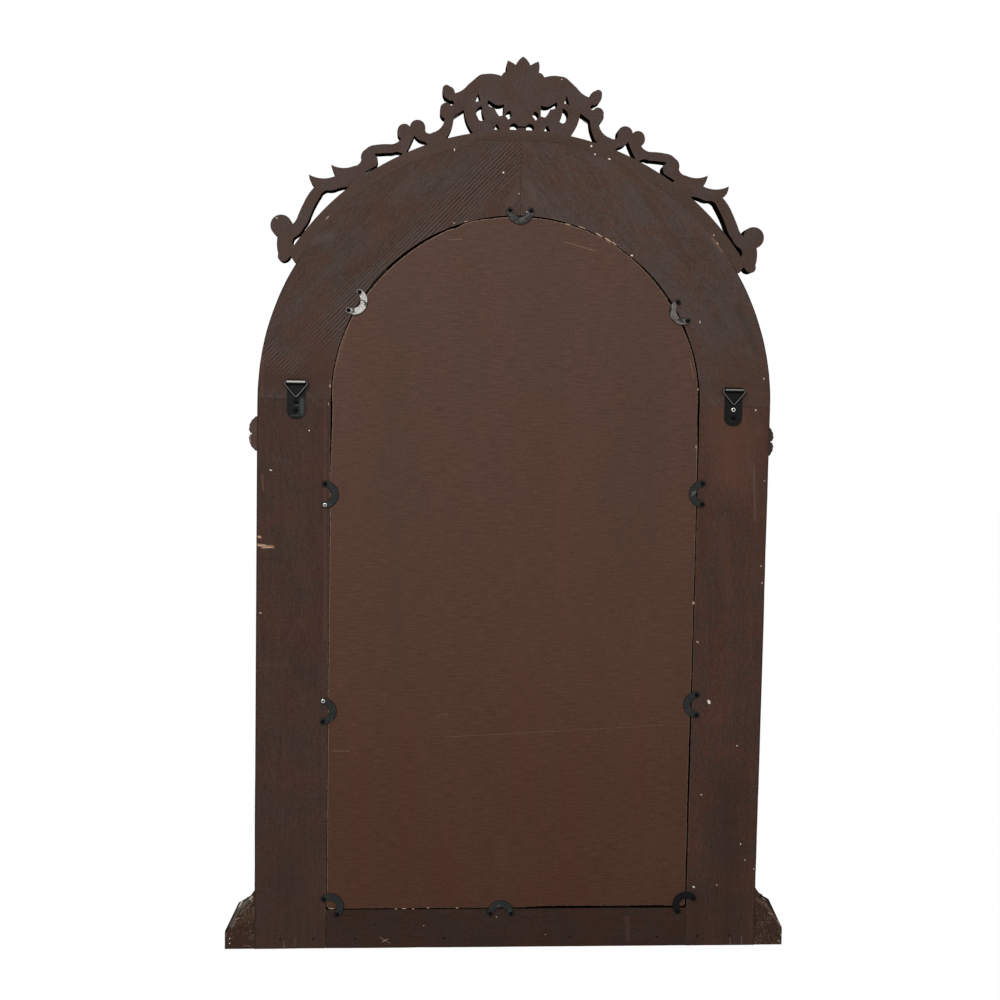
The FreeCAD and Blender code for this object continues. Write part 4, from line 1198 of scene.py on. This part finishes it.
def channel(distance, middle, width, depth):
    """A groove whose middle keeps one distance from the edge."""
    return -depth * math.exp(-((distance - middle) / width) ** 2)


def crest_relief(x, z, distance):
    full = crest_depth + crest_rim(Vector((x, 0.0, z)))
    height = full * rounded(distance, crest_round) + channel(distance, *crest_channel)
    across, up = x - shell_foot.x, z - shell_foot.z
    reach = math.hypot(across, up)
    broad = min(max((distance - 3.5 * mm) / (3 * mm), 0.0), 1.0)
    if abs(across) < shell_half:
        bearing = math.atan2(across, up)
        flute = flute_depth * broad * abs(math.cos(shell_flutes * bearing))
        height -= flute * min(reach / flute_run, 1.0)
    else:
        slant = (abs(x) + 0.6 * (z - spring_level)) / vein_spacing
        height -= vein_depth * broad * (0.5 + 0.5 * math.cos(2 * math.pi * slant))
    return max(height, 0.0)


for node in ("crest_centre", "left_crest_wing", "right_crest_wing"):
    carved(node, f"carved_{node}", crest_wood, crest_rim, crest_relief, on_crest_seat)

# %% [markdown]
# ## The feet
# Each foot is a block beside the stile, in one piece with a leaf that laps over the front. The leaf
# is carved with veins that spread from its lower inner corner, and the back arris of the block is
# worn and dusty.

# %% Feet
foot_rim_depth = -foot_low.y - 5 * mm
foot_rise = 4.6 * mm
foot_round = 6 * mm
foot_channel = (3.4 * mm, 0.9 * mm, 1.1 * mm)
foot_veins = 14
foot_vein_depth = 1.3 * mm


def foot_rim(place):
    return -foot_rim_depth


def beside_stile(place):
    return abs(place.x) < frame_half + 0.5 * mm


def foot_relief(x, z, distance):
    height = foot_rise * rounded(distance, foot_round) + channel(distance, *foot_channel)
    across, up = abs(x) - foot_low.x, z - ground_level
    broad = min(max((distance - 4 * mm) / (3 * mm), 0.0), 1.0)
    bearing = math.atan2(across, up + 12 * mm)
    return max(height - foot_vein_depth * broad * (0.5 + 0.5 * math.cos(foot_veins * bearing)), 0.0)


for side in ("left", "right"):
    carved(f"{side}_foot", f"carved_{side}_foot", foot_wood, foot_rim, foot_relief,
           beside_stile)

# %% [markdown]
# ## Mouldings
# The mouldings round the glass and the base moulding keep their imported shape. They only need their
# curves to shade smoothly and their corners eased.

# %% Mouldings
mouldings = ("rail_moulding", "base_moulding", "left_stile_moulding", "right_stile_moulding",
             "left_arch_moulding", "right_arch_moulding")
for node in mouldings:
    softened(node, f"eased_{node}", moulding_wood, 0.3 * mm, 10 * mm)
print("mouldings eased", len(mouldings))

# %% [markdown]
# ## Clips and straps
# The crescent clips and the hanger straps were stamped from sheet. A small bevel shows their cut edges
# as a thin outline, which the steel lays near-black as painted shade. The bevel of the clips isn't
# limited by the length of the edges beside it, because their curves are made of short edges.

# %% Clips and straps
clip_finishes = {
    "upper_right_clip": bare_clip_steel, "upper_left_clip": spotted_clip_steel,
    "top_clip": grey_clip_steel, "left_corner_clip": sooty_clip_steel,
}
clip_arris = 0.5 * mm
strap_arris = 0.3 * mm
clip_nodes = [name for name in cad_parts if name.endswith("_clip")]
for node in clip_nodes:
    steel = clip_finishes.get(node, black_clip_steel)
    softened(node, f"stamped_{node}", steel, clip_arris, 0.15 * mm, clamp=False)
for side in ("left", "right"):
    steel = strap_steels[side]
    softened(f"{side}_strap", f"stamped_{side}_strap", steel, strap_arris, 0.8 * mm)
print("stamped pieces", len(clip_nodes) + len(strap_steels))

# %% [markdown]
# ## Trees for what repeats
# Screws, nails, chips and drops of glue repeat. Geometry Nodes sets one small piece on each point of
# a mesh: the point carries its own turn and its own size as attributes, and a random turn with a
# fixed seed is added for the slots of the screws. The result is made real, given its material and
# turned into a plain mesh.

# %% Tools for trees


def new_tree(name, sockets):
    """A Geometry Nodes tree with the named inputs, its input node and its output node."""
    tree = bpy.data.node_groups.new(name, "GeometryNodeTree")
    tree.interface.new_socket("Geometry", in_out="INPUT", socket_type="NodeSocketGeometry")
    tree.interface.new_socket("Geometry", in_out="OUTPUT", socket_type="NodeSocketGeometry")
    for socket, kind in sockets.items():
        tree.interface.new_socket(socket, in_out="INPUT", socket_type=kind)
    given = tree.nodes.new("NodeGroupInput").outputs
    return tree, given


def end_tree(tree, geometry, material):
    """Makes instances real, sets the material and ends the tree."""
    real = add(tree, "GeometryNodeRealizeInstances", {}, {"Geometry": geometry})
    dressed = add(tree, "GeometryNodeSetMaterial", {}, {"Geometry": real, "Material": material})
    output = tree.nodes.new("NodeGroupOutput")
    tree.links.new(dressed, output.inputs[0])
    return tree


def grown(piece, tree, values):
    """Runs a tree on an object with the given input values and gives the plain mesh that it makes."""
    modifier = piece.modifiers.new("tree", "NODES")
    modifier.node_group = tree
    for item in tree.interface.items_tree:
        if item.name in values and item.in_out == "INPUT":
            modifier[item.identifier] = values[item.name]
    graph = bpy.context.evaluated_depsgraph_get()
    mesh = bpy.data.meshes.new_from_object(piece.evaluated_get(graph))
    piece.modifiers.clear()
    bpy.data.objects.remove(piece)
    return mesh


print("tools: new_tree, end_tree, grown")

# %% [markdown]
# ## A tree that sets a piece on points
# The points carry a turn and a size of their own, and the tree adds a random turn about Y from a
# fixed seed.

# %% Tree that sets a piece on points


def set_on_points_tree():
    tree, given = new_tree("set pieces on points", {
        "Piece": "NodeSocketObject", "Size": "NodeSocketFloat", "Random turn": "NodeSocketFloat",
        "Seed": "NodeSocketInt", "Material": "NodeSocketMaterial"})
    piece = add(tree, "GeometryNodeObjectInfo", {}, {"Object": given["Piece"]}, "Geometry")
    turn = add(tree, "GeometryNodeInputNamedAttribute", {"data_type": "FLOAT_VECTOR"}, {"Name": "turn"})
    size = add(tree, "GeometryNodeInputNamedAttribute", {"data_type": "FLOAT_VECTOR"}, {"Name": "size"})
    chance = add(tree, "FunctionNodeRandomValue", {"data_type": "FLOAT"},
                 {"Min_001": 0.0, "Max_001": given["Random turn"], "Seed": given["Seed"]}, "Value_001")
    spin = add(tree, "ShaderNodeCombineXYZ", {}, {"Y": chance})
    turn = add(tree, "ShaderNodeVectorMath", "ADD", [turn, spin])
    turn = add(tree, "FunctionNodeEulerToRotation", {}, [turn])
    size = add(tree, "ShaderNodeVectorMath", "SCALE", {0: size, "Scale": given["Size"]})
    placed = add(tree, "GeometryNodeInstanceOnPoints", {},
                 {"Points": given["Geometry"], "Instance": piece, "Rotation": turn, "Scale": size})
    return end_tree(tree, placed, given["Material"])


pieces_on_points = set_on_points_tree()


def set_pieces(name, pattern, places, material, nodes=(), size=1.0, random_turn=0.0, seed=0):
    """Sets the pattern on places, each a location, a turn and a size along X, Y and Z."""
    data = bpy.data.meshes.new(name + "_points")
    data.from_pydata([place[0] for place in places], [], [])
    for attribute, column in (("turn", 1), ("size", 2)):
        layer = data.attributes.new(attribute, "FLOAT_VECTOR", "POINT")
        layer.data.foreach_set("vector", [value for place in places for value in place[column]])
    points = bpy.data.objects.new(name + "_points", data)
    scene.collection.objects.link(points)
    mesh = grown(points, pieces_on_points, {
        "Piece": pattern, "Size": size, "Random turn": random_turn, "Seed": seed, "Material": material})
    print(name, "on", len(places), "points, faces", len(mesh.polygons))
    return shown(mesh, name, None, list(nodes))


def pattern_object(mesh, name):
    """A pattern for the tree, kept out of the scene."""
    data = bpy.data.meshes.new(name)
    mesh.to_mesh(data)
    mesh.free()
    return bpy.data.objects.new(name, data)


# %% [markdown]
# ## Screws and nails
# A screw shows only its head: a low dome with a cross cut into it. The dome is a disc of rings whose
# points are lowered by a rule, and points inside the arms of the cross are lowered further. Each
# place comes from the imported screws, found as the separate parts of their node.

# %% Screw and nail heads
head_rings = 9
head_spokes = 36
head_dome = 0.42
hollow_depth = 0.24


def screw_head(name, dome, cross_width=0.0, cross_reach=0.0, recess=0.0):
    """A head of radius 1 that faces +Y, with a cross or a round recess; sizes are shares of the radius."""
    mesh = bmesh.new()
    hollow = mesh.verts.layers.float.new("hollow")
    rings = []
    for ring in range(head_rings + 1):
        radius = ring / head_rings
        row = []
        for spoke in range(head_spokes):
            angle = 2 * math.pi * spoke / head_spokes
            x, z = radius * math.cos(angle), radius * math.sin(angle)
            narrow, long = sorted((abs(x), abs(z)))
            height = dome * math.sqrt(max(1 - 0.92 * radius ** 2, 0.0))
            sunk = (narrow < cross_width and long < cross_reach) or radius < recess
            if sunk:
                height -= hollow_depth
            corner = mesh.verts.new((x, height, z))
            corner[hollow] = float(sunk)
            row.append(corner)
        rings.append(row)
    rings.append([mesh.verts.new((v.co.x, 0.0, v.co.z)) for v in rings[-1]])
    for inner, outer in zip(rings, rings[1:]):
        for i in range(head_spokes):
            mesh.faces.new((inner[i - 1], inner[i], outer[i], outer[i - 1]))
    mesh.faces.new(rings[-1])
    bmesh.ops.remove_doubles(mesh, verts=mesh.verts, dist=1e-5)
    bmesh.ops.recalc_face_normals(mesh, faces=mesh.faces)
    return pattern_object(mesh, name)


print("head of", head_rings, "rings and", head_spokes, "spokes")

# %% [markdown]
# ## Where the screws are
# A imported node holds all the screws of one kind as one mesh. Its separate parts are found by walking
# from corner to corner, and the box of each part gives the place and the radius of a head.

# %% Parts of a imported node


def parts_of(node):
    """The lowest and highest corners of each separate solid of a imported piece."""
    mesh = bmesh.new()
    mesh.from_mesh(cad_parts[node].data)
    bmesh.ops.remove_doubles(mesh, verts=mesh.verts, dist=weld_distance)
    left = set(mesh.verts)
    boxes = []
    while left:
        reached, front = set(), [left.pop()]
        while front:
            corner = front.pop()
            reached.add(corner)
            for edge in corner.link_edges:
                other = edge.other_vert(corner)
                if other in left:
                    left.remove(other)
                    front.append(other)
        low = Vector([min(v.co[axis] for v in reached) for axis in range(3)])
        high = Vector([max(v.co[axis] for v in reached) for axis in range(3)])
        boxes.append((low, high))
    mesh.free()
    return sorted(boxes, key=lambda box: tuple(box[0]))


print("screws on the clips", len(parts_of("clip_screws")))

# %% [markdown]
# ## Setting the heads
# Most screws are black with a cross. Three on the clips are zinc plated, and so is one on a strap,
# which has a round socket. A seed turns each cross its own way.

# %% Heads
cross_head = screw_head("cross_head", head_dome, 0.22, 0.68)
socket_head = screw_head("socket_head", head_dome, recess=0.5)
plain_head = screw_head("plain_head", 0.3)


def heads_of(node, sunk=0.0):
    """Where the heads of a node's screws sit, with the radius as the size."""
    places = []
    for low, high in parts_of(node):
        radius = (high.x - low.x) / 2
        seat = ((low.x + high.x) / 2, high.y - head_dome * radius - sunk, (low.z + high.z) / 2)
        places.append((seat, (0.0, 0.0, 0.0), (radius,) * 3))
    return places


for node, head, finish, slot, size, seed in (
        ("clip_screws", cross_head, screw_steel, "black_steel", 0.95, 3),
        ("bright_clip_screws", cross_head, zinc_steel, "bright_steel", 0.9, 5),
        ("hanger_screws", cross_head, screw_steel, "black_steel", 1.0, 7),
        ("bright_hanger_screw", socket_head, zinc_steel, "bright_steel", 0.88, 9)):
    set_pieces(f"heads_of_{node}", head, heads_of(node), finish, [node], size, math.pi, seed)
nail_places = heads_of("base_nails", 0.1 * mm)
set_pieces("heads_of_base_nails", plain_head, nail_places, screw_steel, ["base_nails"])

# %% [markdown]
# ## Chips and drops of glue
# Where a tool or a clip slipped, the stain is gone and pale wood shows, and a few drops of glue dried
# where they fell. Each is a small flat lump with a ragged outline, set just proud of the surface.
# They are listed by the pixel where they show, with a length, a width and a slant.

# %% Chips and glue


def ragged_lump(name):
    """A flat lump of radius 1 that faces +Y, with a ragged outline."""
    mesh = bmesh.new()
    bmesh.ops.create_icosphere(mesh, subdivisions=2, radius=1.0)
    for corner in mesh.verts:
        corner.co *= 1.0 + 0.35 * noise.noise(corner.co * 2.3)
        corner.co.y *= 0.22
    return pattern_object(mesh, name)


lump = ragged_lump("ragged_lump")
lump_height = 0.9 * mm
# Pixel across, pixel down, half length and half width in mm, slant in degrees.
glue_drops = [
    (561.8, 79.5, 0.6, 0.5, 0), (693.7, 887, 1.5, 0.9, 40), (503.4, 172.6, 1.1, 0.9, 0),
    (519, 193.7, 0.6, 0.5, 20), (454.5, 149.8, 0.5, 1.5, 0), (591.4, 146.1, 1.0, 1.3, 10),
    (229.8, 938.5, 0.6, 0.8, 0), (229.5, 943.5, 0.6, 0.7, 0), (781.5, 935, 0.7, 0.9, 0),
    (779, 941, 0.6, 0.5, 0), (595, 154.2, 1.0, 0.7, 30), (609.4, 159.1, 1.5, 0.8, 15),
    (631.9, 255.5, 1.2, 1.0, 0), (309.2, 430.6, 0.8, 0.6, 0), (270.8, 470.2, 1.2, 0.7, 10),
    (709, 702, 2.4, 1.6, 60), (700, 322, 0.4, 1.5, 0), (755.7, 410.3, 0.8, 0.8, 0),
    (737, 745.8, 0.7, 0.7, 0), (276.8, 218, 0.8, 0.6, 0), (527, 212, 1.0, 0.5, 0),
    (740.6, 844, 0.7, 0.7, 0), (745, 860, 0.6, 0.6, 0), (753.7, 869, 0.7, 0.6, 0),
    (701.3, 794.8, 0.8, 0.6, 0), (716.7, 885, 0.7, 0.5, 0),
]
wood_chips = [
    (327.5, 217.5, 2.6, 0.5, -50), (568, 224.5, 3.0, 0.6, 14), (582, 227.5, 4.0, 0.5, 17),
    (599, 235, 4.5, 0.7, 28), (608, 240, 4.0, 0.9, 30), (614, 243.5, 3.0, 0.7, 33),
    (713.8, 235.2, 1.2, 0.8, 50), (717.5, 243.5, 1.8, 0.7, 55), (763.9, 378.7, 0.8, 1.2, 0),
    (330, 386, 0.8, 1.5, 0), (328.5, 404, 0.35, 2.0, 0), (262, 545.5, 4.5, 1.0, -3),
    (267, 547.5, 6.0, 0.8, -4), (259.5, 537, 1.6, 1.3, 0), (260.5, 613, 1.2, 0.9, 0),
    (696, 447, 0.6, 1.5, 0), (698, 389.5, 0.6, 1.2, 0), (693.5, 603, 1.2, 1.6, 0),
    (761, 566, 1.0, 0.8, 0), (762, 583, 0.8, 1.2, 0), (764.5, 481, 0.9, 0.6, 0),
    (396, 909, 1.6, 0.5, 0), (404, 908.6, 2.6, 0.5, 2), (413, 909, 1.4, 0.5, 0),
    (428, 908, 1.4, 0.5, 0), (457, 908, 1.4, 0.5, 0), (697.5, 642, 1.4, 0.9, 30),
    (385, 940.5, 4.0, 0.35, -28), (454, 223, 1.4, 0.5, 20), (466, 221.5, 2.2, 0.4, -8),
    (331.5, 908.6, 3.2, 0.5, 5), (423.7, 925.9, 0.8, 0.4, 0), (496.5, 917, 0.9, 0.5, 0),
    (545.4, 934.6, 0.9, 0.4, 0),
]


def lumps_at(rows):
    places = []
    for across_px, down_px, half_length, half_width, slant in rows:
        place = on_back(across_px, down_px)
        turn = (0.0, math.radians(-slant), 0.0)
        places.append((place, turn, (half_length * mm, lump_height, half_width * mm)))
    return places


set_pieces("drops_of_glue", lump, lumps_at(glue_drops), dried_glue)
set_pieces("chips_of_bare_wood", lump, lumps_at(wood_chips), bare_wood)

# %% [markdown]
# ## The rings
# Each ring is steel wire bent to a triangle, its top bar lying in the rolled barrel of the strap.
# Geometry Nodes turns three points into a curve, rounds its corners and sweeps a circle along it,
# which gives an even wire. It rides on the ring's own body.

# %% Rings
ring_corner = 1.8 * mm
ring_sides = 16
ring_fall = 15.7 * mm
ring_half_span = 13.4 * mm


def wire_tree():
    tree, given = new_tree("wire along a bent path", {
        "Wire radius": "NodeSocketFloat", "Corner radius": "NodeSocketFloat",
        "Material": "NodeSocketMaterial"})
    path = add(tree, "GeometryNodeMeshToCurve", {}, {"Mesh": given["Geometry"]})
    path = add(tree, "GeometryNodeFilletCurve", {"mode": "POLY"},
               {"Curve": path, "Count": 8, "Radius": given["Corner radius"]})
    circle = add(tree, "GeometryNodeCurvePrimitiveCircle", {},
                 {"Resolution": ring_sides, "Radius": given["Wire radius"]})
    wire = add(tree, "GeometryNodeCurveToMesh", {}, {"Curve": path, "Profile Curve": circle})
    return end_tree(tree, wire, given["Material"])


bent_wire = wire_tree()
for side in ("left", "right"):
    low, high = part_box(f"{side}_ring")
    radius = (high.y - low.y) / 2
    depth = (high.y + low.y) / 2
    middle = (low.x + high.x) / 2
    top = high.z - radius
    corners = [(middle - ring_half_span, depth, top), (middle + ring_half_span, depth, top),
               (middle, depth, top - ring_fall)]
    data = bpy.data.meshes.new(f"{side}_ring_path")
    data.from_pydata(corners, [(0, 1), (1, 2), (2, 0)], [])
    path = bpy.data.objects.new(f"{side}_ring_path", data)
    scene.collection.objects.link(path)
    wire = grown(path, bent_wire, {
        "Wire radius": radius, "Corner radius": ring_corner, "Material": wire_steel})
    shown(wire, f"bent_{side}_ring", None, [f"{side}_ring"], f"{side}_ring_body")
    print(side, "ring faces", len(wire.polygons))

# %% [markdown]
# ## The rosettes
# A rosette is a turned disc with two rows of petals and a round eye. One petal is modelled as a small
# cupped leaf, and Geometry Nodes stands a ring of them round the middle, once for the wide row and
# once for the narrow one. The back of the disc shows past the edge of the stile as two or three soft
# lobes.

# %% Rosettes
petal_count = 5
notch_share = 0.78
lobe_fullness = 0.35
scallop = 0.25 * mm


def petal(name, length, half_width, thickness, cup):
    """A cupped petal that points along +Z from the origin and faces -Y."""
    mesh = bmesh.new()
    rows, columns = 10, 8
    grid = []
    for row in range(rows + 1):
        share = row / rows
        width = half_width * math.sin(math.pi * min(0.12 + 0.8 * share, 1.0)) ** 0.7
        line = []
        for column in range(-columns, columns + 1):
            side = column / columns
            height = thickness * (1 - side ** 2) ** 0.5 * (0.55 + 0.45 * math.sin(math.pi * share))
            height -= cup * (1 - side ** 2) * math.exp(-((share - 0.62) / 0.28) ** 2)
            line.append(mesh.verts.new((side * width, -height, share * length)))
        grid.append(line)
    for low, high in zip(grid, grid[1:]):
        for i in range(len(low) - 1):
            mesh.faces.new((low[i], low[i + 1], high[i + 1], high[i]))
    rim = [edge for edge in mesh.edges if edge.is_boundary]
    bmesh.ops.contextual_create(mesh, geom=rim)
    bmesh.ops.recalc_face_normals(mesh, faces=mesh.faces)
    return pattern_object(mesh, name)


print("petals in a ring", petal_count)

# %% [markdown]
# ## A ring of petals
# The tree lifts one petal off the middle and turns a copy of it onto each of the points, which all
# lie in the middle, by equal steps.

# %% Tree that sets a ring of petals


def petal_ring_tree():
    tree, given = new_tree("ring of petals", {
        "Petals": "NodeSocketInt", "Petal": "NodeSocketObject", "Ring radius": "NodeSocketFloat",
        "First turn": "NodeSocketFloat", "Material": "NodeSocketMaterial"})
    piece = add(tree, "GeometryNodeObjectInfo", {}, {"Object": given["Petal"]}, "Geometry")
    lifted = add(tree, "ShaderNodeCombineXYZ", {}, {"Z": given["Ring radius"]})
    piece = add(tree, "GeometryNodeTransform", {}, {"Geometry": piece, "Translation": lifted})
    points = add(tree, "GeometryNodeMeshLine", {}, {"Count": given["Petals"], "Offset": (0.0, 0.0, 0.0)})
    index = add(tree, "GeometryNodeInputIndex")
    step = add(tree, "ShaderNodeMath", "DIVIDE", [2 * math.pi, given["Petals"]])
    turn = weighted(tree, given["First turn"], (index, step))
    turn = add(tree, "ShaderNodeCombineXYZ", {}, {"Y": turn})
    turn = add(tree, "FunctionNodeEulerToRotation", {}, [turn])
    placed = add(tree, "GeometryNodeInstanceOnPoints", {},
                 {"Points": points, "Instance": piece, "Rotation": turn})
    return end_tree(tree, placed, given["Material"])


petal_ring = petal_ring_tree()


# %% [markdown]
# ## The whole rosette
# Two rows of petals lie on a disc with scalloped lobes, and a flattened ball is the eye.

# %% Whole rosettes


def petal_row(pattern, ring_radius, first_turn):
    data = bpy.data.meshes.new("row")
    carrier = bpy.data.objects.new("row", data)
    scene.collection.objects.link(carrier)
    return grown(carrier, petal_ring, {
        "Petals": petal_count, "Petal": pattern, "Ring radius": ring_radius, "First turn": first_turn,
        "Material": rosette_wood})


def rosette(side):
    low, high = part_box(f"{side}_rosette")
    centre = (low + high) / 2
    radius = (high.x - low.x) / 2
    outward = math.copysign(1.0, centre.x)
    half_turn = math.pi / petal_count
    first_turn = outward * (math.pi / 2 - half_turn)
    wide = petal("wide_petal", radius * 0.72, radius * 0.42, 4.0 * mm, 2.2 * mm)
    narrow = petal("narrow_petal", radius * 0.42, radius * 0.28, 3.0 * mm, 1.4 * mm)
    mesh = bmesh.new()
    for row, lift in ((petal_row(wide, radius * 0.26, first_turn), 3.2 * mm),
                      (petal_row(narrow, radius * 0.2, first_turn + half_turn), 6.0 * mm)):
        row.transform(Matrix.Translation((0.0, -lift, 0.0)))
        mesh.from_mesh(row)
    disc = []
    steps = 24 * petal_count
    for i in range(steps):
        angle = 2 * math.pi * i / steps
        fullness = abs(math.sin(petal_count * angle / 2)) ** lobe_fullness
        lobe = radius * (notch_share + (1 - notch_share) * fullness)
        lobe += scallop * math.cos(6 * petal_count * angle)
        disc.append((outward * lobe * math.cos(angle), lobe * math.sin(angle)))
    rings = []
    for depth, share in ((0.0, 0.0), (0.0, 0.965), (0.6 * mm, 1.0), (3.0 * mm, 0.985), (3.8 * mm, 0.9),
                         (4.4 * mm, 0.0)):
        rings.append([mesh.verts.new((x * share, -depth, z * share)) for x, z in disc])
    for one, two in zip(rings, rings[1:]):
        for i in range(steps):
            mesh.faces.new((one[i], one[i - 1], two[i - 1], two[i]))
    eye = bmesh.ops.create_uvsphere(mesh, u_segments=24, v_segments=14, radius=radius * 0.2)["verts"]
    for corner in eye:
        corner.co.y = corner.co.y * 0.8 - 6.8 * mm
    bmesh.ops.remove_doubles(mesh, verts=mesh.verts, dist=1e-6)
    bmesh.ops.recalc_face_normals(mesh, faces=mesh.faces)
    seat = Vector((centre.x, high.y, centre.z))
    bmesh.ops.translate(mesh, verts=mesh.verts, vec=seat)
    print(side, "rosette faces", len(mesh.faces))
    node = f"{side}_rosette"
    return finished(mesh, "petalled_" + node, rosette_wood, [node])


for side in ("left", "right"):
    rosette(side)

# %% [markdown]
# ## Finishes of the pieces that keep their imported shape
# The glass, and the dowels, pins and blocks inside the joints, are right as they come from the frame.
# They only get their materials.

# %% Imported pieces
kept_finishes = {"mirror_glass": mirror_finish, "glass_blocks": softwood, "rosette_pins": beech}
for name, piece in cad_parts.items():
    if name.endswith("_dowels"):
        kept_finishes[name] = beech
for name, finish in kept_finishes.items():
    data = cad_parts[name].data
    data.materials.clear()
    data.materials.append(finish)
print("packed pieces kept", len(kept_finishes))

# %% [markdown]
# ## World
# The photograph is a cut-out on white, evenly lit, with a little more light from above. The floor and
# the world are white to the camera and in reflections, while the light that falls on the mirror comes
# from a soft world and two large lamps, one on each side, at a level where a colour renders about as
# it is written.

# %% World
floor_half = 6.0
white_light = (1.0, 1.0, 1.0, 1.0)
world_light = 0.6
back_lamp_watts = 42.0
front_lamp_watts = 34.0


def white_to_camera(tree, surface, strength):
    """Mixes plain white into a surface for rays from the camera, from gloss and through glass."""
    path = add(tree, "ShaderNodeLightPath").node.outputs
    seen = path["Is Camera Ray"]
    for ray in ("Is Glossy Ray", "Is Transmission Ray"):
        seen = add(tree, "ShaderNodeMath", "MAXIMUM", [seen, path[ray]])
    seen = add(tree, "ShaderNodeMath", "MULTIPLY", [seen, strength])
    kind = "ShaderNodeBackground" if surface.node.type == "BACKGROUND" else "ShaderNodeEmission"
    white = add(tree, kind, {}, {"Color": white_light, "Strength": 1.0})
    return add(tree, "ShaderNodeMixShader", {}, [seen, surface, white])


world = bpy.data.worlds.new("studio")
world.use_nodes = True
scene.world = world
world_tree = world.node_tree
soft_world = add(world_tree, "ShaderNodeBackground", {}, {"Color": white_light, "Strength": world_light})
world_output = next(node for node in world_tree.nodes if node.type == "OUTPUT_WORLD")
world_tree.links.new(white_to_camera(world_tree, soft_world, 1.0), world_output.inputs["Surface"])

print("world strength", world_light)

# %% [markdown]
# ## Floor
# A wide sheet of white paper takes the soft shadow at the foot of the mirror.

# %% Floor
floor_mesh = bpy.data.meshes.new("floor")
floor_corners = [(x * floor_half, y * floor_half, ground_level)
                 for x, y in ((-1, -1), (1, -1), (1, 1), (-1, 1))]
floor_mesh.from_pydata(floor_corners, [], [(0, 1, 2, 3)])
floor = bpy.data.objects.new("floor", floor_mesh)
scene.collection.objects.link(floor)
floor_finish, floor_tree, floor_shader = new_finish(
    "white_paper_floor", Roughness=0.9, Specular_IOR_Level=0.0)
floor_shader.inputs["Base Color"].default_value = tone("#a8a8a8")
floor_output = next(node for node in floor_tree.nodes if node.type == "OUTPUT_MATERIAL")
floor_white = white_to_camera(floor_tree, floor_shader.outputs[0], 0.99)
floor_tree.links.new(floor_white, floor_output.inputs["Surface"])
floor_mesh.materials.append(floor_finish)
print("floor is", 2 * floor_half, "m wide")


# %% [markdown]
# ## Lamps
# The lamp behind the mirror lights the side that the camera sees, and the other one lights the front.

# %% Lamps


def soft_lamp(name, place, aim, watts, width):
    lamp = bpy.data.objects.new(name, bpy.data.lights.new(name, "AREA"))
    lamp.data.energy = watts
    lamp.data.size = width
    lamp.location = place
    lamp.rotation_euler = (Vector(aim) - Vector(place)).to_track_quat("-Z", "Y").to_euler()
    scene.collection.objects.link(lamp)


soft_lamp("back_lamp", (0.9, 1.9, 1.5), (0.0, 0.0, 0.15), back_lamp_watts, 1.4)
soft_lamp("front_lamp", (-1.0, -2.1, 1.4), (0.0, 0.0, -0.1), front_lamp_watts, 1.6)
scene.view_settings.view_transform = "Standard"
print("lamps", back_lamp_watts, "W and", front_lamp_watts, "W")
